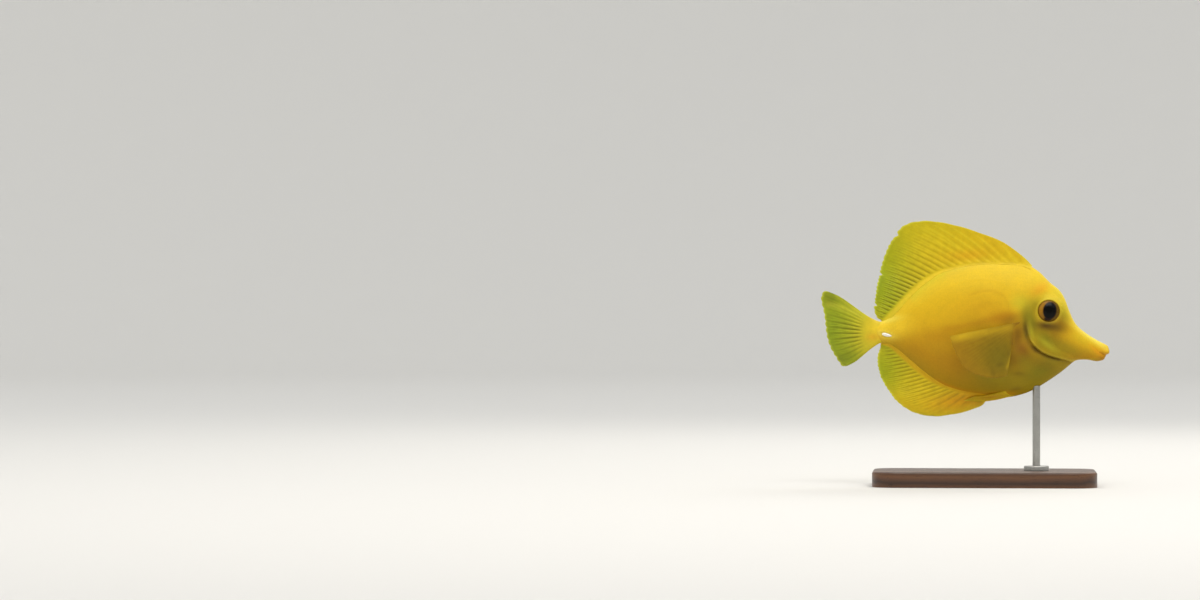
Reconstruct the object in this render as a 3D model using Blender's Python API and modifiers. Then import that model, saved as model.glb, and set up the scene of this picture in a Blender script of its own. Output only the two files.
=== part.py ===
"""A yellow tang as a life-size still model on a plain display stand.

Run it with blender --background --python part.py, or from the text editor.
Metres, +Z up. The fish swims towards +X, its right side faces -Y, and the origin is the centre
of the stand's underside. Lengths are written in millimetres and scaled by MM. Heights on the
fish are counted from the body axis, the level line through the tail stalk.
"""

import math

import bmesh
import bpy
import numpy as np
from mathutils import Matrix, Vector

MM = 0.001
GAP = 0.3  # between parts that touch, in millimetres
FAR = 120.0  # how far cutters reach, past the whole fish
AXIS_HEIGHT = 80.0  # body axis above the floor

# Body lines from snout to tail: x, back height, belly height, half width.
BODY_LINES = (
    (64.6, -9.2, -9.2, 0.0),
    (64.0, -7.3, -11.2, 1.7),
    (62.3, -6.1, -13.9, 2.5),
    (58.5, -4.2, -15.1, 3.1),
    (53.0, -0.7, -14.3, 3.9),
    (47.6, 4.0, -14.7, 5.2),
    (44.3, 10.5, -17.0, 6.1),
    (41.6, 17.6, -19.3, 6.8),
    (38.6, 22.1, -21.6, 7.5),
    (34.0, 25.9, -24.8, 8.5),
    (28.0, 31.7, -28.5, 9.5),
    (21.0, 35.8, -31.9, 10.2),
    (11.0, 37.3, -34.1, 10.6),
    (-2.0, 37.4, -34.4, 10.2),
    (-13.0, 35.5, -32.8, 9.3),
    (-22.4, 32.4, -29.5, 8.1),
    (-31.3, 26.6, -23.2, 6.6),
    (-39.1, 19.4, -16.1, 5.1),
    (-45.4, 12.3, -10.4, 4.1),
    (-50.4, 7.2, -7.0, 3.4),
    (-54.2, 5.4, -5.4, 2.9),
    (-58.0, 7.2, -6.9, 2.2),
    (-61.5, 9.3, -9.5, 1.2),
)
BACK, BELLY, WIDTH = 1, 2, 3  # columns of those rows
RINGS_PER_LINE = 2
SIDES = 36
# How much more pointed than an ellipse the trunk's section is, and over which x this grows.
KEEL_SHARPNESS = 0.35
KEEL_AHEAD, KEEL_ASTERN = (52.0, 18.0), (-60.0, -30.0)
LINE_SAMPLES = 600

# The tail swings gently away from the fish's right side.
SWAY = 7.0
SWAY_START, SWAY_END = -28.7, -85.3

# Rear edge of the gill cover, from above the nape to below the throat: x, height.
GILL_LINE = (
    (27.0, 42.0),
    (25.2, 34.0),
    (21.8, 20.0),
    (20.4, 12.0),
    (20.9, 6.0),
    (22.7, 0.8),
    (24.6, -3.4),
    (28.0, -7.2),
    (32.0, -10.2),
    (36.8, -12.7),
    (41.4, -14.2),
    (45.2, -15.8),
    (48.5, -18.8),
)
GILL_FLARE, GILL_FLARE_REACH = 0.7, 9.0
GILL_HOLLOW, GILL_HOLLOW_REACH = 0.4, 5.0
STALK_START, STALK_END = -45.5, -58.5

# Mouth: the corner, how far the lips part at the front, and the back of the lower jaw.
MOUTH_CORNER = (57.4, -9.0)
MOUTH_FRONT = (67.0, -12.0)
MOUTH_PARTING = 1.1
JAW_BACK = (53.6, -18.0)
JAW_TIP = 62.4
LIP_RADIUS = 0.7
UPPER_LIP = ((58.2, 2.75, -8.7), (61.0, 2.45, -9.6), (63.1, 1.4, -10.2), (63.8, 0.0, -10.3))
LOWER_LIP = ((57.9, 2.65, -10.2), (60.0, 2.3, -11.8), (61.7, 1.3, -12.9), (62.2, 0.0, -13.2))

EYE_CENTRE = (33.1, 5.6, 11.0)
EYE_SEMI_AXES = (6.8, 3.8, 6.8)
ORBIT_RADIUS, ORBIT_RIM, ORBIT_SINK = 6.1, 0.7, 0.1
ORBIT_LEAN = (0.10, 0.14)  # the eyes look a little forwards and up
NOSTRILS = ((40.6, 11.6), (39.9, 14.4))
NOSTRIL_RADIUS = 0.75

SPINE_CENTRE = (-50.6, -1.5)
SPINE_LENGTH, SPINE_HEIGHT, SPINE_DEPTH = 7.0, 1.9, 1.7
SPINE_DIP_DEG = 14.0

# Fin margins, x and height, from the front or the top round to the rear or the bottom.
DORSAL_MARGIN = (
    (24.8, 34.7),
    (19.9, 39.7),
    (9.7, 47.0),
    (-3.1, 52.1),
    (-15.7, 55.9),
    (-28.4, 58.0),
    (-38.1, 57.2),
    (-44.2, 53.8),
    (-49.8, 45.2),
    (-53.7, 34.5),
    (-56.2, 23.1),
    (-57.5, 13.0),
    (-56.2, 7.9),
    (-53.0, 5.9),
)
ANAL_MARGIN = (
    (1.0, -35.5),
    (-1.9, -38.8),
    (-11.5, -42.0),
    (-20.4, -43.6),
    (-27.4, -44.0),
    (-36.5, -42.1),
    (-44.6, -37.1),
    (-50.6, -29.6),
    (-54.4, -22.2),
    (-55.7, -13.6),
    (-53.9, -7.1),
)
TAIL_MARGIN = (
    (-83.9, 21.3),
    (-85.3, 16.4),
    (-83.6, 10.4),
    (-83.0, 3.1),
    (-82.0, -3.2),
    (-79.8, -8.9),
    (-76.6, -14.9),
    (-73.5, -18.1),
)
DORSAL_ROOT = (23.6, -52.4)
ANAL_ROOT = (1.0, -53.2)
TAIL_ROOT_X = STALK_END - GAP
TAIL_BOW_HIGH, TAIL_BOW_LOW = 1.3, -2.1
TAIL_TWIST_LOW, TAIL_TWIST_HIGH = 0.26, 0.10
# Fins: rays, rows along a ray, thickness at the root and over a ray near it.
DORSAL_RAYS, DORSAL_ROWS = 29, 7
ANAL_RAYS, ANAL_ROWS = 23, 6
TAIL_RAYS, TAIL_ROWS = 17, 7
PECTORAL_RAYS, PECTORAL_ROWS = 14, 5
PELVIC_RAYS, PELVIC_ROWS = 6, 5
MEDIAN_FLESH, MEDIAN_CREST = 1.9, 1.15
TAIL_FLESH, TAIL_FLESH_EDGE, TAIL_CREST = 4.2, 0.8, 1.15
PECTORAL_FLESH, PECTORAL_CREST = 2.2, 0.95
PELVIC_FLESH, PELVIC_CREST = 1.6, 1.0
MEMBRANE = 0.55
FLESH_REACH, TAIL_FLESH_REACH = 0.22, 0.32  # share of a ray over which the root thins out
RAY_TAPER = 0.6
COLUMNS_PER_RAY = 2
MARGIN_SCALLOP = 0.02  # share of a ray's length by which the membrane falls short of its tip
ROOT_SINK = 2.5
# How much the rays crowd towards the rear, and the power that leans their tips back.
DORSAL_CROWDING, DORSAL_SWEEP = 0.25, 0.6
ANAL_CROWDING, ANAL_SWEEP = 0.2, 0.5

PECTORAL_ROOT = ((15.8, 4.4), (14.2, -5.8))
PECTORAL_ANGLES = (191.5, 262.0)
PECTORAL_LENGTHS = (34.5, 32.5, 24.5, 17.0)
PECTORAL_FAN = 0.85
PECTORAL_INSET = 0.1  # share of the ray length that lies inside the flank
PECTORAL_STANDOFF_DEG, PECTORAL_CUPPING = 24.0, 0.006

# Lower edge, along the spine, and upper edge, along the last ray, from root to tip.
PELVIC_SPINE = ((19.8, -31.2), (13.0, -33.6), (6.0, -35.3), (-2.0, -36.2), (-10.8, -35.7))
PELVIC_LAST_RAY = ((16.6, -29.0), (12.0, -30.3), (6.0, -31.8), (0.0, -32.9), (-5.0, -33.4))
PELVIC_STANDOFF = 1.4
KEEL_CLEARANCE = 1.3  # how far the folded fins keep from the middle plane below the keel

BASE_LENGTH, BASE_WIDTH, BASE_THICKNESS = 116.0, 62.0, 8.0
BASE_CORNER, BASE_EDGE = 12.0, 1.2
ROD_X, ROD_RADIUS = 27.0, 2.0
COLLAR_RADIUS, COLLAR_HEIGHT, COLLAR_EDGE = 6.5, 2.4, 0.7
ROD_EMBRACE = 3.0  # how far the rod's split tip reaches up beside the breast keel

SKIN_YELLOW = (0.86, 0.56, 0.03)
FIN_YELLOW = (0.72, 0.66, 0.05)
EYE_BLACK = (0.02, 0.016, 0.012)
SPINE_WHITE = (0.93, 0.92, 0.88)
WALNUT = (0.10, 0.055, 0.03)
STEEL = (0.62, 0.62, 0.61)


def curve_at(rows, position):
    """A row at a fractional position, on the Catmull-Rom curve through the rows."""
    last = len(rows) - 1
    start = min(max(int(position), 0), last - 1)
    t = position - start
    before, a, b, after = (np.array(rows[min(max(k, 0), last)], float) for k in range(start - 1, start + 3))
    return 0.5 * (
        2 * a + (b - before) * t
        + (2 * before - 5 * a + 4 * b - after) * t**2
        + (3 * a - before - 3 * b + after) * t**3
    )


def sampled(rows, count=LINE_SAMPLES):
    """Points of the smooth curve through the rows."""
    return np.array([curve_at(rows, p) for p in np.linspace(0, len(rows) - 1, count)])


def at_share(points, share):
    """The point at a share of the length of a densely sampled line."""
    steps = np.linalg.norm(np.diff(points, axis=0), axis=1)
    reached = np.concatenate([[0], np.cumsum(steps)])
    wanted = share * reached[-1]
    return np.array([np.interp(wanted, reached, points[:, k]) for k in range(points.shape[1])])


def smooth_step(low, high, value):
    """0 up to low, 1 from high on, and a soft S between them. High may be the smaller of the two."""
    t = min(max((value - low) / (high - low), 0.0), 1.0)
    return t * t * (3 - 2 * t)


BODY = sampled(BODY_LINES)
GILL = sampled(GILL_LINE, 60)


def body_line(x, column):
    """Height of the back or belly, or half width, of the body at x."""
    return float(np.interp(-x, -BODY[:, 0], BODY[:, column]))


def sway(x):
    """Sideways offset of the body's middle at x."""
    if x >= SWAY_START:
        return 0.0
    return SWAY * ((SWAY_START - x) / (SWAY_START - SWAY_END)) ** 2


def world(x, y, height):
    """A point on the fish, in millimetres about the body axis, as metres above the floor."""
    return Vector((x, y + sway(x), height + AXIS_HEIGHT)) * MM


def keel_power(x):
    """The power of the section's cosine: 1 is an ellipse, more gives sharper back and belly."""
    return 1.0 + KEEL_SHARPNESS * smooth_step(*KEEL_AHEAD, x) * smooth_step(*KEEL_ASTERN, x)


def half_width_at(x, height):
    """How far the flank stands from the middle plane at a place seen from the side."""
    back, belly = body_line(x, BACK), body_line(x, BELLY)
    level = (2 * height - back - belly) / (back - belly)
    return body_line(x, WIDTH) * max(0.0, 1 - level * level) ** (keel_power(x) / 2)


def gill_distance(x, height):
    """Distance to the gill line, positive in front of it, on the head."""
    steps = GILL - np.array([x, height])
    nearest = int(np.argmin(np.linalg.norm(steps, axis=1)))
    nearest = min(max(nearest, 1), len(GILL) - 2)
    along = GILL[nearest + 1] - GILL[nearest - 1]
    side = along[0] * steps[nearest][1] - along[1] * steps[nearest][0]
    return -math.copysign(float(np.linalg.norm(steps, axis=1).min()), side)


def gill_relief(x, height):
    """The gill cover lifts towards its rear edge, and the trunk dips behind it."""
    distance = gill_distance(x, height)
    if distance > 0:
        return GILL_FLARE * smooth_step(GILL_FLARE_REACH, 0, distance)
    return -GILL_HOLLOW * smooth_step(GILL_HOLLOW_REACH, 0, -distance)


def link(mesh, name):
    """A new object of this mesh in the model's collection."""
    made = bpy.data.objects.new(name, mesh)
    MODEL.objects.link(made)
    return made


def object_from(shape, name):
    """A new object from a bmesh, with its faces pointing outwards."""
    bmesh.ops.recalc_face_normals(shape, faces=shape.faces)
    mesh = bpy.data.meshes.new(name)
    shape.to_mesh(mesh)
    shape.free()
    return link(mesh, name)


def body_shape(name, grow=0.0, relief=False):
    """The whole body from snout to tail base: a sphere's rings drawn along the body lines."""
    shape = bmesh.new()
    rings = RINGS_PER_LINE * (len(BODY_LINES) - 1)
    bmesh.ops.create_uvsphere(shape, u_segments=SIDES, v_segments=rings, radius=1)
    for vert in shape.verts:
        share = math.acos(min(max(vert.co.z, -1), 1)) / math.pi
        x, back, belly, width = curve_at(BODY_LINES, share * (len(BODY_LINES) - 1))
        around = math.atan2(vert.co.y, vert.co.x)
        flank = math.cos(around)
        height = (back + belly) / 2 + (back - belly) / 2 * math.sin(around)
        side = math.copysign(max(width, 0.0) * abs(flank) ** keel_power(x), flank)
        if relief:
            side += math.copysign(gill_relief(x, height) * smooth_step(0, 3, abs(side)), side)
        vert.co = world(x, side, height)
    if grow:
        shape.normal_update()
        bmesh.ops.recalc_face_normals(shape, faces=shape.faces)
        for vert in shape.verts:
            vert.co += vert.normal * grow * MM
    return object_from(shape, name)


def slab(name, outline, half_depth=FAR / 2):
    """A prism through the whole fish, from an outline of x and height."""
    plan = bpy.data.curves.new(name, "CURVE")
    plan.dimensions = "2D"
    plan.fill_mode = "BOTH"
    plan.extrude = half_depth * MM
    spline = plan.splines.new("POLY")
    spline.points.add(len(outline) - 1)
    for point, (x, height) in zip(spline.points, outline):
        point.co = (x * MM, (height + AXIS_HEIGHT) * MM, 0, 1)
    spline.use_cyclic_u = True
    prism = converted(link(plan, name))
    prism.data.transform(Matrix.Rotation(math.pi / 2, 4, "X"))
    return prism


def ellipsoid(name, centre, semi_axes, sides=20, rings=12, turn_deg=0.0, taper=0.0):
    """An ellipsoid at a place on the fish, turned nose down by turn_deg and tapered towards +X."""
    shape = bmesh.new()
    bmesh.ops.create_uvsphere(shape, u_segments=sides, v_segments=rings, radius=1)
    turn = Matrix.Rotation(math.radians(turn_deg), 3, "Y")
    for vert in shape.verts:
        narrow = 1 - taper * (vert.co.x + 1) / 2
        local = turn @ (vert.co * Vector(semi_axes) * Vector((1, narrow, narrow)))
        vert.co = world(*(Vector(centre) + local))
    return object_from(shape, name)


def rim(name, centre, lean, radius, thickness):
    """A rim of round section whose axis is the unit vector lean."""
    bpy.ops.mesh.primitive_torus_add(
        major_segments=24, minor_segments=8, major_radius=radius, minor_radius=thickness
    )
    made = bpy.context.object
    mesh = made.data
    bpy.data.objects.remove(made)
    turn = Vector((0, 0, 1)).rotation_difference(Vector(lean)).to_matrix()
    for vert in mesh.vertices:
        vert.co = world(*(Vector(centre) + turn @ vert.co))
    return link(mesh, name)


def lip(name, half_points):
    """A lip: a round bead that runs from one mouth corner round the front to the other."""
    other_half = [(x, -y, h) for x, y, h in reversed(half_points[:-1])]
    route = sampled(list(half_points) + other_half, 15)
    line = bpy.data.curves.new(name, "CURVE")
    line.dimensions = "3D"
    line.bevel_depth = LIP_RADIUS * MM
    line.bevel_resolution = 2
    line.use_fill_caps = True
    spline = line.splines.new("POLY")
    spline.points.add(len(route) - 1)
    for point, place in zip(spline.points, route):
        point.co = (*world(*place), 1)
    return converted(link(line, name))


def converted(curve_object):
    """A curve object as a closed mesh object, with its caps welded on."""
    graph = bpy.context.evaluated_depsgraph_get()
    mesh = bpy.data.meshes.new_from_object(curve_object.evaluated_get(graph))
    name = curve_object.name
    bpy.data.objects.remove(curve_object)
    shape = bmesh.new()
    shape.from_mesh(mesh)
    bmesh.ops.remove_doubles(shape, verts=shape.verts, dist=0.01 * MM)
    return object_from(shape, name)


def keep_largest(target):
    """Leaves only the largest closed surface of a mesh."""
    shape = bmesh.new()
    shape.from_mesh(target.data)
    left, pieces = set(shape.verts), []
    while left:
        piece, front = set(), [left.pop()]
        while front:
            vert = front.pop()
            piece.add(vert)
            for edge in vert.link_edges:
                other = edge.other_vert(vert)
                if other in left:
                    left.remove(other)
                    front.append(other)
        pieces.append(piece)
    pieces.sort(key=len)
    for piece in pieces[:-1]:
        bmesh.ops.delete(shape, geom=list(piece), context="VERTS")
    shape.to_mesh(target.data)
    shape.free()


def combine(target, operation, others):
    """One Boolean of target with closed meshes, applied, after which those meshes are removed.

    The exact solver comes first, and the manifold one where the first leaves nothing.
    """
    group = bpy.data.collections.new(f"{target.name}_{operation.lower()}")
    bpy.context.scene.collection.children.link(group)
    for other in others:
        MODEL.objects.unlink(other)
        group.objects.link(other)
    modifier = target.modifiers.new(operation.title(), "BOOLEAN")
    modifier.operation = operation
    modifier.operand_type = "COLLECTION"
    modifier.collection = group
    for solver in ("EXACT", "MANIFOLD"):
        modifier.solver = solver
        graph = bpy.context.evaluated_depsgraph_get()
        mesh = bpy.data.meshes.new_from_object(target.evaluated_get(graph))
        if mesh.polygons:
            break
    target.modifiers.clear()
    target.data = mesh
    for other in others:
        bpy.data.objects.remove(other)
    bpy.data.collections.remove(group)
    keep_largest(target)
    return target


def finish(target, colour, roughness, metallic=0.0):
    """Gives a part its material and smooth shading with crisp edges."""
    material = bpy.data.materials.new(target.name)
    material.use_nodes = True
    shader = material.node_tree.nodes["Principled BSDF"]
    shader.inputs["Base Color"].default_value = (*colour, 1)
    shader.inputs["Roughness"].default_value = roughness
    shader.inputs["Metallic"].default_value = metallic
    target.data.materials.clear()
    target.data.materials.append(material)
    target.data.shade_smooth()
    target.data.set_sharp_from_angle(angle=math.radians(40))
    return target


def shifted_gill_line(distance):
    """The gill line moved forwards, across itself, by a distance."""
    slopes = np.gradient(GILL, axis=0)
    slopes /= np.linalg.norm(slopes, axis=1)[:, None]
    return [(x - dz * distance, h + dx * distance) for (x, h), (dx, dz) in zip(GILL, slopes)][::3]


def build_head():
    """Head with gill covers, orbits, nostrils, mouth slit and upper lip, parted from the trunk."""
    head = body_shape("head", relief=True)
    behind = shifted_gill_line(GAP / 2)
    behind += [(GILL[-1][0], -FAR), (-FAR, -FAR), (-FAR, FAR), (GILL[0][0], FAR)]
    jaw_room = jaw_outline() + [(MOUTH_FRONT[0], JAW_BACK[1])]
    cutters = [slab("behind_gills", behind), slab("jaw_room", jaw_room)]
    additions = [lip("upper_lip", UPPER_LIP)]
    x, y, h = EYE_CENTRE
    for side in (-1, 1):
        grown = [semi + GAP for semi in EYE_SEMI_AXES]
        cutters.append(ellipsoid("socket", (x, side * y, h), grown))
        lean = Vector((ORBIT_LEAN[0], side, ORBIT_LEAN[1])).normalized()
        centre = (x, side * (half_width_at(x, h) - ORBIT_SINK), h)
        additions.append(rim("orbit", centre, lean, ORBIT_RADIUS, ORBIT_RIM))
        for nostril_x, nostril_h in NOSTRILS:
            place = (nostril_x, side * half_width_at(nostril_x, nostril_h), nostril_h)
            cutters.append(ellipsoid("nostril", place, (NOSTRIL_RADIUS,) * 3, 8, 6))
    combine(head, "UNION", additions)
    combine(head, "DIFFERENCE", cutters)
    return finish(head, SKIN_YELLOW, 0.45)


def jaw_outline():
    """The notch that the lower jaw fills, from the front of the mouth round its corner."""
    corner_x, corner_h = MOUTH_CORNER
    back_x, back_h = JAW_BACK
    return [MOUTH_FRONT, MOUTH_CORNER, (back_x + 0.6, corner_h - 1.2), (back_x, back_h)]


def build_lower_jaw():
    """Lower jaw and its lip, a small wedge under the mouth slit."""
    jaw = body_shape("lower_jaw")
    front, corner, back_top, back_low = jaw_outline()
    slope = (front[1] - MOUTH_PARTING - corner[1]) / (front[0] - corner[0])
    reach = (JAW_TIP - corner[0]) * slope
    around = [
        (JAW_TIP, -FAR),
        (JAW_TIP, corner[1] - GAP + reach),
        (corner[0], corner[1] - GAP),
        (back_top[0] + GAP, back_top[1] - GAP),
        (back_low[0] + GAP, back_low[1]),
        (back_low[0] + GAP, -FAR),
        (-FAR, -FAR),
        (-FAR, FAR),
        (FAR, FAR),
        (FAR, -FAR),
    ]
    combine(jaw, "DIFFERENCE", [slab("around_jaw", around)])
    combine(jaw, "UNION", [lip("lower_lip", LOWER_LIP)])
    return finish(jaw, SKIN_YELLOW, 0.45)


def build_trunk():
    """Trunk from the gill openings and breast to the tail stalk."""
    trunk = body_shape("trunk", relief=True)
    ahead = shifted_gill_line(-GAP / 2) + [(FAR, GILL[-1][1]), (FAR, FAR), (GILL[0][0], FAR)]
    astern = [(STALK_START, -FAR), (STALK_START, FAR), (-FAR, FAR), (-FAR, -FAR)]
    combine(trunk, "DIFFERENCE", [slab("ahead", ahead), slab("astern", astern)])
    return finish(trunk, SKIN_YELLOW, 0.45)


def spine_blade(name, side, grow=0.0):
    """The folded tail spine: a tapered white blade whose point looks forwards."""
    x, h = SPINE_CENTRE
    semi = (SPINE_LENGTH / 2 + grow, SPINE_DEPTH / 2 + grow, SPINE_HEIGHT / 2 + grow)
    centre = (x, side * (half_width_at(x, h) - 0.1), h)
    return ellipsoid(name, centre, semi, 10, 10, turn_deg=SPINE_DIP_DEG, taper=0.45)


def build_stalk():
    """Tail stalk with a groove on each side for its spine."""
    stalk = body_shape("tail_stalk")
    front, rear = STALK_START - GAP, STALK_END
    ahead = [(front, -FAR), (FAR, -FAR), (FAR, FAR), (front, FAR)]
    astern = [(rear, -FAR), (rear, FAR), (-FAR, FAR), (-FAR, -FAR)]
    cutters = [slab("ahead", ahead), slab("astern", astern)]
    cutters += [spine_blade("groove", side, GAP) for side in (-1, 1)]
    combine(stalk, "DIFFERENCE", cutters)
    return finish(stalk, SKIN_YELLOW, 0.45)


def fin_sheet(name, rays, rows, place, thickness, thickest):
    """A fin as a closed sheet whose rays stand up as ridges on both faces.

    place(across, along) gives a point in world metres, and thickness(across, along, ridge) the
    fin's thickness in millimetres, of at most thickest. Across and along run from 0 to 1.
    """
    columns = COLUMNS_PER_RAY * (rays - 1)
    shape = bmesh.new()
    bmesh.ops.create_grid(shape, x_segments=columns, y_segments=rows, size=0.5)
    bmesh.ops.triangulate(shape, faces=shape.faces, quad_method="FIXED")
    weights = []
    for vert in shape.verts:
        across, along = vert.co.x + 0.5, vert.co.y + 0.5
        ridge = 1.0 if round(across * columns) % COLUMNS_PER_RAY == 0 else 0.0
        vert.co = place(across, along - (0 if ridge else MARGIN_SCALLOP) * along**4)
        weights.append(thickness(across, along, ridge) / thickest)
    mesh = bpy.data.meshes.new(name)
    shape.to_mesh(mesh)
    shape.free()
    fin = link(mesh, name)
    group = fin.vertex_groups.new(name="thickness")
    for index, weight in enumerate(weights):
        group.add([index], weight, "REPLACE")
    skin = fin.modifiers.new("Solidify", "SOLIDIFY")
    skin.thickness = thickest * MM
    skin.offset = 0
    skin.vertex_group = group.name
    graph = bpy.context.evaluated_depsgraph_get()
    solid = bpy.data.meshes.new_from_object(fin.evaluated_get(graph))
    fin.modifiers.clear()
    fin.vertex_groups.clear()
    fin.data = solid
    shape = bmesh.new()
    shape.from_mesh(solid)
    bmesh.ops.recalc_face_normals(shape, faces=shape.faces)
    shape.to_mesh(solid)
    shape.free()
    return fin


def ray_thickness(root, crest):
    """Thickness of a fin that is fleshy at its root and has rays up to crest thick."""

    def thickness(across, along, ridge):
        fleshy = (root - MEMBRANE) * smooth_step(FLESH_REACH, 0.0, along)
        ray = ridge * (crest - MEMBRANE) * (1 - RAY_TAPER * along)
        return MEMBRANE + max(fleshy, ray)

    return thickness


def median_fin(name, root_span, root_column, margin, rays, rows, crowding, sweep):
    """A fin on the middle line, with rays from its root on the body to the margin."""
    inward = -ROOT_SINK if root_column == BACK else ROOT_SINK
    xs = np.linspace(*root_span, LINE_SAMPLES)
    root = np.array([(x, body_line(x, root_column) + inward) for x in xs])
    edge = sampled(margin)

    def place(across, along):
        share = across * (1 + crowding - crowding * across)
        low = at_share(root, share)
        tip = at_share(edge, share**sweep)
        x, height = low + (tip - low) * along
        return world(x, 0, height)

    thickness = ray_thickness(MEDIAN_FLESH, MEDIAN_CREST)
    fin = fin_sheet(name, rays, rows, place, thickness, MEDIAN_FLESH)
    combine(fin, "DIFFERENCE", [body_shape("whole_body", grow=GAP)])
    return finish(fin, FIN_YELLOW, 0.4)


def build_tail_fin():
    """Tail fin, a fan of branched rays whose lower lobe trails away to the fish's left."""
    edge = sampled(TAIL_MARGIN)
    top, bottom = body_line(TAIL_ROOT_X, BACK), body_line(TAIL_ROOT_X, BELLY)

    def place(across, along):
        tip_x, tip_h = at_share(edge, across)
        root_h = top + (bottom - top) * across
        bow = TAIL_BOW_HIGH + (TAIL_BOW_LOW - TAIL_BOW_HIGH) * across
        x = TAIL_ROOT_X + (tip_x - TAIL_ROOT_X) * along
        height = root_h + (tip_h - root_h) * along + bow * math.sin(math.pi * along)
        reach = along * along
        twist = reach * (-height * TAIL_TWIST_LOW if height < 0 else -height * TAIL_TWIST_HIGH)
        return world(x, twist, height)

    def thickness(across, along, ridge):
        section = math.sqrt(max(0.0, 1 - (2 * across - 1) ** 2))
        root = TAIL_FLESH_EDGE + (TAIL_FLESH - TAIL_FLESH_EDGE) * section
        fleshy = (root - MEMBRANE) * smooth_step(TAIL_FLESH_REACH, 0.0, along)
        ray = ridge * (TAIL_CREST - MEMBRANE) * (1 - RAY_TAPER * along)
        return MEMBRANE + max(fleshy, ray)

    fin = fin_sheet("tail_fin", TAIL_RAYS, TAIL_ROWS, place, thickness, TAIL_FLESH)
    return finish(fin, FIN_YELLOW, 0.4)


def build_pectoral_fin(side):
    """A spread pectoral fin: rays that fan back and down and stand off the flank."""
    (top_x, top_h), (low_x, low_h) = PECTORAL_ROOT
    away = math.tan(math.radians(PECTORAL_STANDOFF_DEG))
    span = PECTORAL_ANGLES[1] - PECTORAL_ANGLES[0]

    def place(across, along):
        x = top_x + (low_x - top_x) * across
        height = top_h + (low_h - top_h) * across
        angle = math.radians(PECTORAL_ANGLES[0] + span * across**PECTORAL_FAN)
        length = float(np.interp(across, np.linspace(0, 1, len(PECTORAL_LENGTHS)), PECTORAL_LENGTHS))
        run = length * (along * (1 + PECTORAL_INSET) - PECTORAL_INSET)
        out = half_width_at(x, height) + run * away - PECTORAL_CUPPING * max(run, 0) ** 2
        return world(x + run * math.cos(angle), side * out, height + run * math.sin(angle))

    name = "pectoral_fin_right" if side < 0 else "pectoral_fin_left"
    thickness = ray_thickness(PECTORAL_FLESH, PECTORAL_CREST)
    fin = fin_sheet(name, PECTORAL_RAYS, PECTORAL_ROWS, place, thickness, PECTORAL_FLESH)
    combine(fin, "DIFFERENCE", [body_shape("whole_body", grow=GAP)])
    return finish(fin, FIN_YELLOW, 0.4)


def build_pelvic_fin(side):
    """A folded pelvic fin: a spine and five rays laid back along the belly."""

    def place(across, along):
        spine = curve_at(PELVIC_SPINE, along * (len(PELVIC_SPINE) - 1))
        last_ray = curve_at(PELVIC_LAST_RAY, along * (len(PELVIC_LAST_RAY) - 1))
        x, height = spine + (last_ray - spine) * across
        lift = PELVIC_STANDOFF * smooth_step(-0.25, 0.35, along)
        return world(x, side * (math.hypot(half_width_at(x, height), KEEL_CLEARANCE) + lift), height)

    name = "pelvic_fin_right" if side < 0 else "pelvic_fin_left"
    thickness = ray_thickness(PELVIC_FLESH, PELVIC_CREST)
    fin = fin_sheet(name, PELVIC_RAYS, PELVIC_ROWS, place, thickness, PELVIC_FLESH)
    combine(fin, "DIFFERENCE", [body_shape("whole_body", grow=GAP)])
    return finish(fin, FIN_YELLOW, 0.4)


def build_eye(side):
    """An eyeball, flattened as in a thin head, in its socket."""
    x, y, h = EYE_CENTRE
    name = "eye_right" if side < 0 else "eye_left"
    return finish(ellipsoid(name, (x, side * y, h), EYE_SEMI_AXES, 24, 14), EYE_BLACK, 0.05)


def build_tail_spine(side):
    """A tail spine lying in its groove."""
    name = "tail_spine_right" if side < 0 else "tail_spine_left"
    return finish(spine_blade(name, side), SPINE_WHITE, 0.3)


def build_stand_base():
    """The stand's flat base, a wooden plate with round corners and eased edges."""
    bpy.ops.mesh.primitive_cube_add(size=1, location=(0, 0, BASE_THICKNESS / 2 * MM))
    base = bpy.context.object
    base.name = "stand_base"
    base.scale = (BASE_LENGTH * MM, BASE_WIDTH * MM, BASE_THICKNESS * MM)
    bpy.ops.object.transform_apply(location=True, scale=True)
    shape = bmesh.new()
    shape.from_mesh(base.data)
    upright = [e for e in shape.edges if abs(e.verts[0].co.z - e.verts[1].co.z) > MM]
    bmesh.ops.bevel(shape, geom=upright, offset=BASE_CORNER * MM, segments=6, affect="EDGES", profile=0.5)
    rim = [e for e in shape.edges if min(v.co.z for v in e.verts) > (BASE_THICKNESS - 0.1) * MM]
    bmesh.ops.bevel(shape, geom=rim, offset=BASE_EDGE * MM, segments=2, affect="EDGES", profile=0.5)
    shape.to_mesh(base.data)
    shape.free()
    for collection in list(base.users_collection):
        collection.objects.unlink(base)
    MODEL.objects.link(base)
    return finish(base, WALNUT, 0.35)


def turned(name, profile):
    """A closed turned piece on the rod's axis, from rows of radius and height above the floor."""
    shape = bmesh.new()
    verts = [shape.verts.new((radius * MM, 0, height * MM)) for radius, height in profile]
    for first, second in zip(verts, verts[1:]):
        shape.edges.new((first, second))
    mesh = bpy.data.meshes.new(name)
    shape.to_mesh(mesh)
    shape.free()
    piece = link(mesh, name)
    screw = piece.modifiers.new("Screw", "SCREW")
    screw.steps = screw.render_steps = 24
    screw.use_merge_vertices = True
    screw.merge_threshold = 0.00001
    graph = bpy.context.evaluated_depsgraph_get()
    mesh = bpy.data.meshes.new_from_object(piece.evaluated_get(graph))
    mesh.transform(Matrix.Translation((ROD_X * MM, 0, 0)))
    piece.modifiers.clear()
    piece.data = mesh
    return piece


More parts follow.
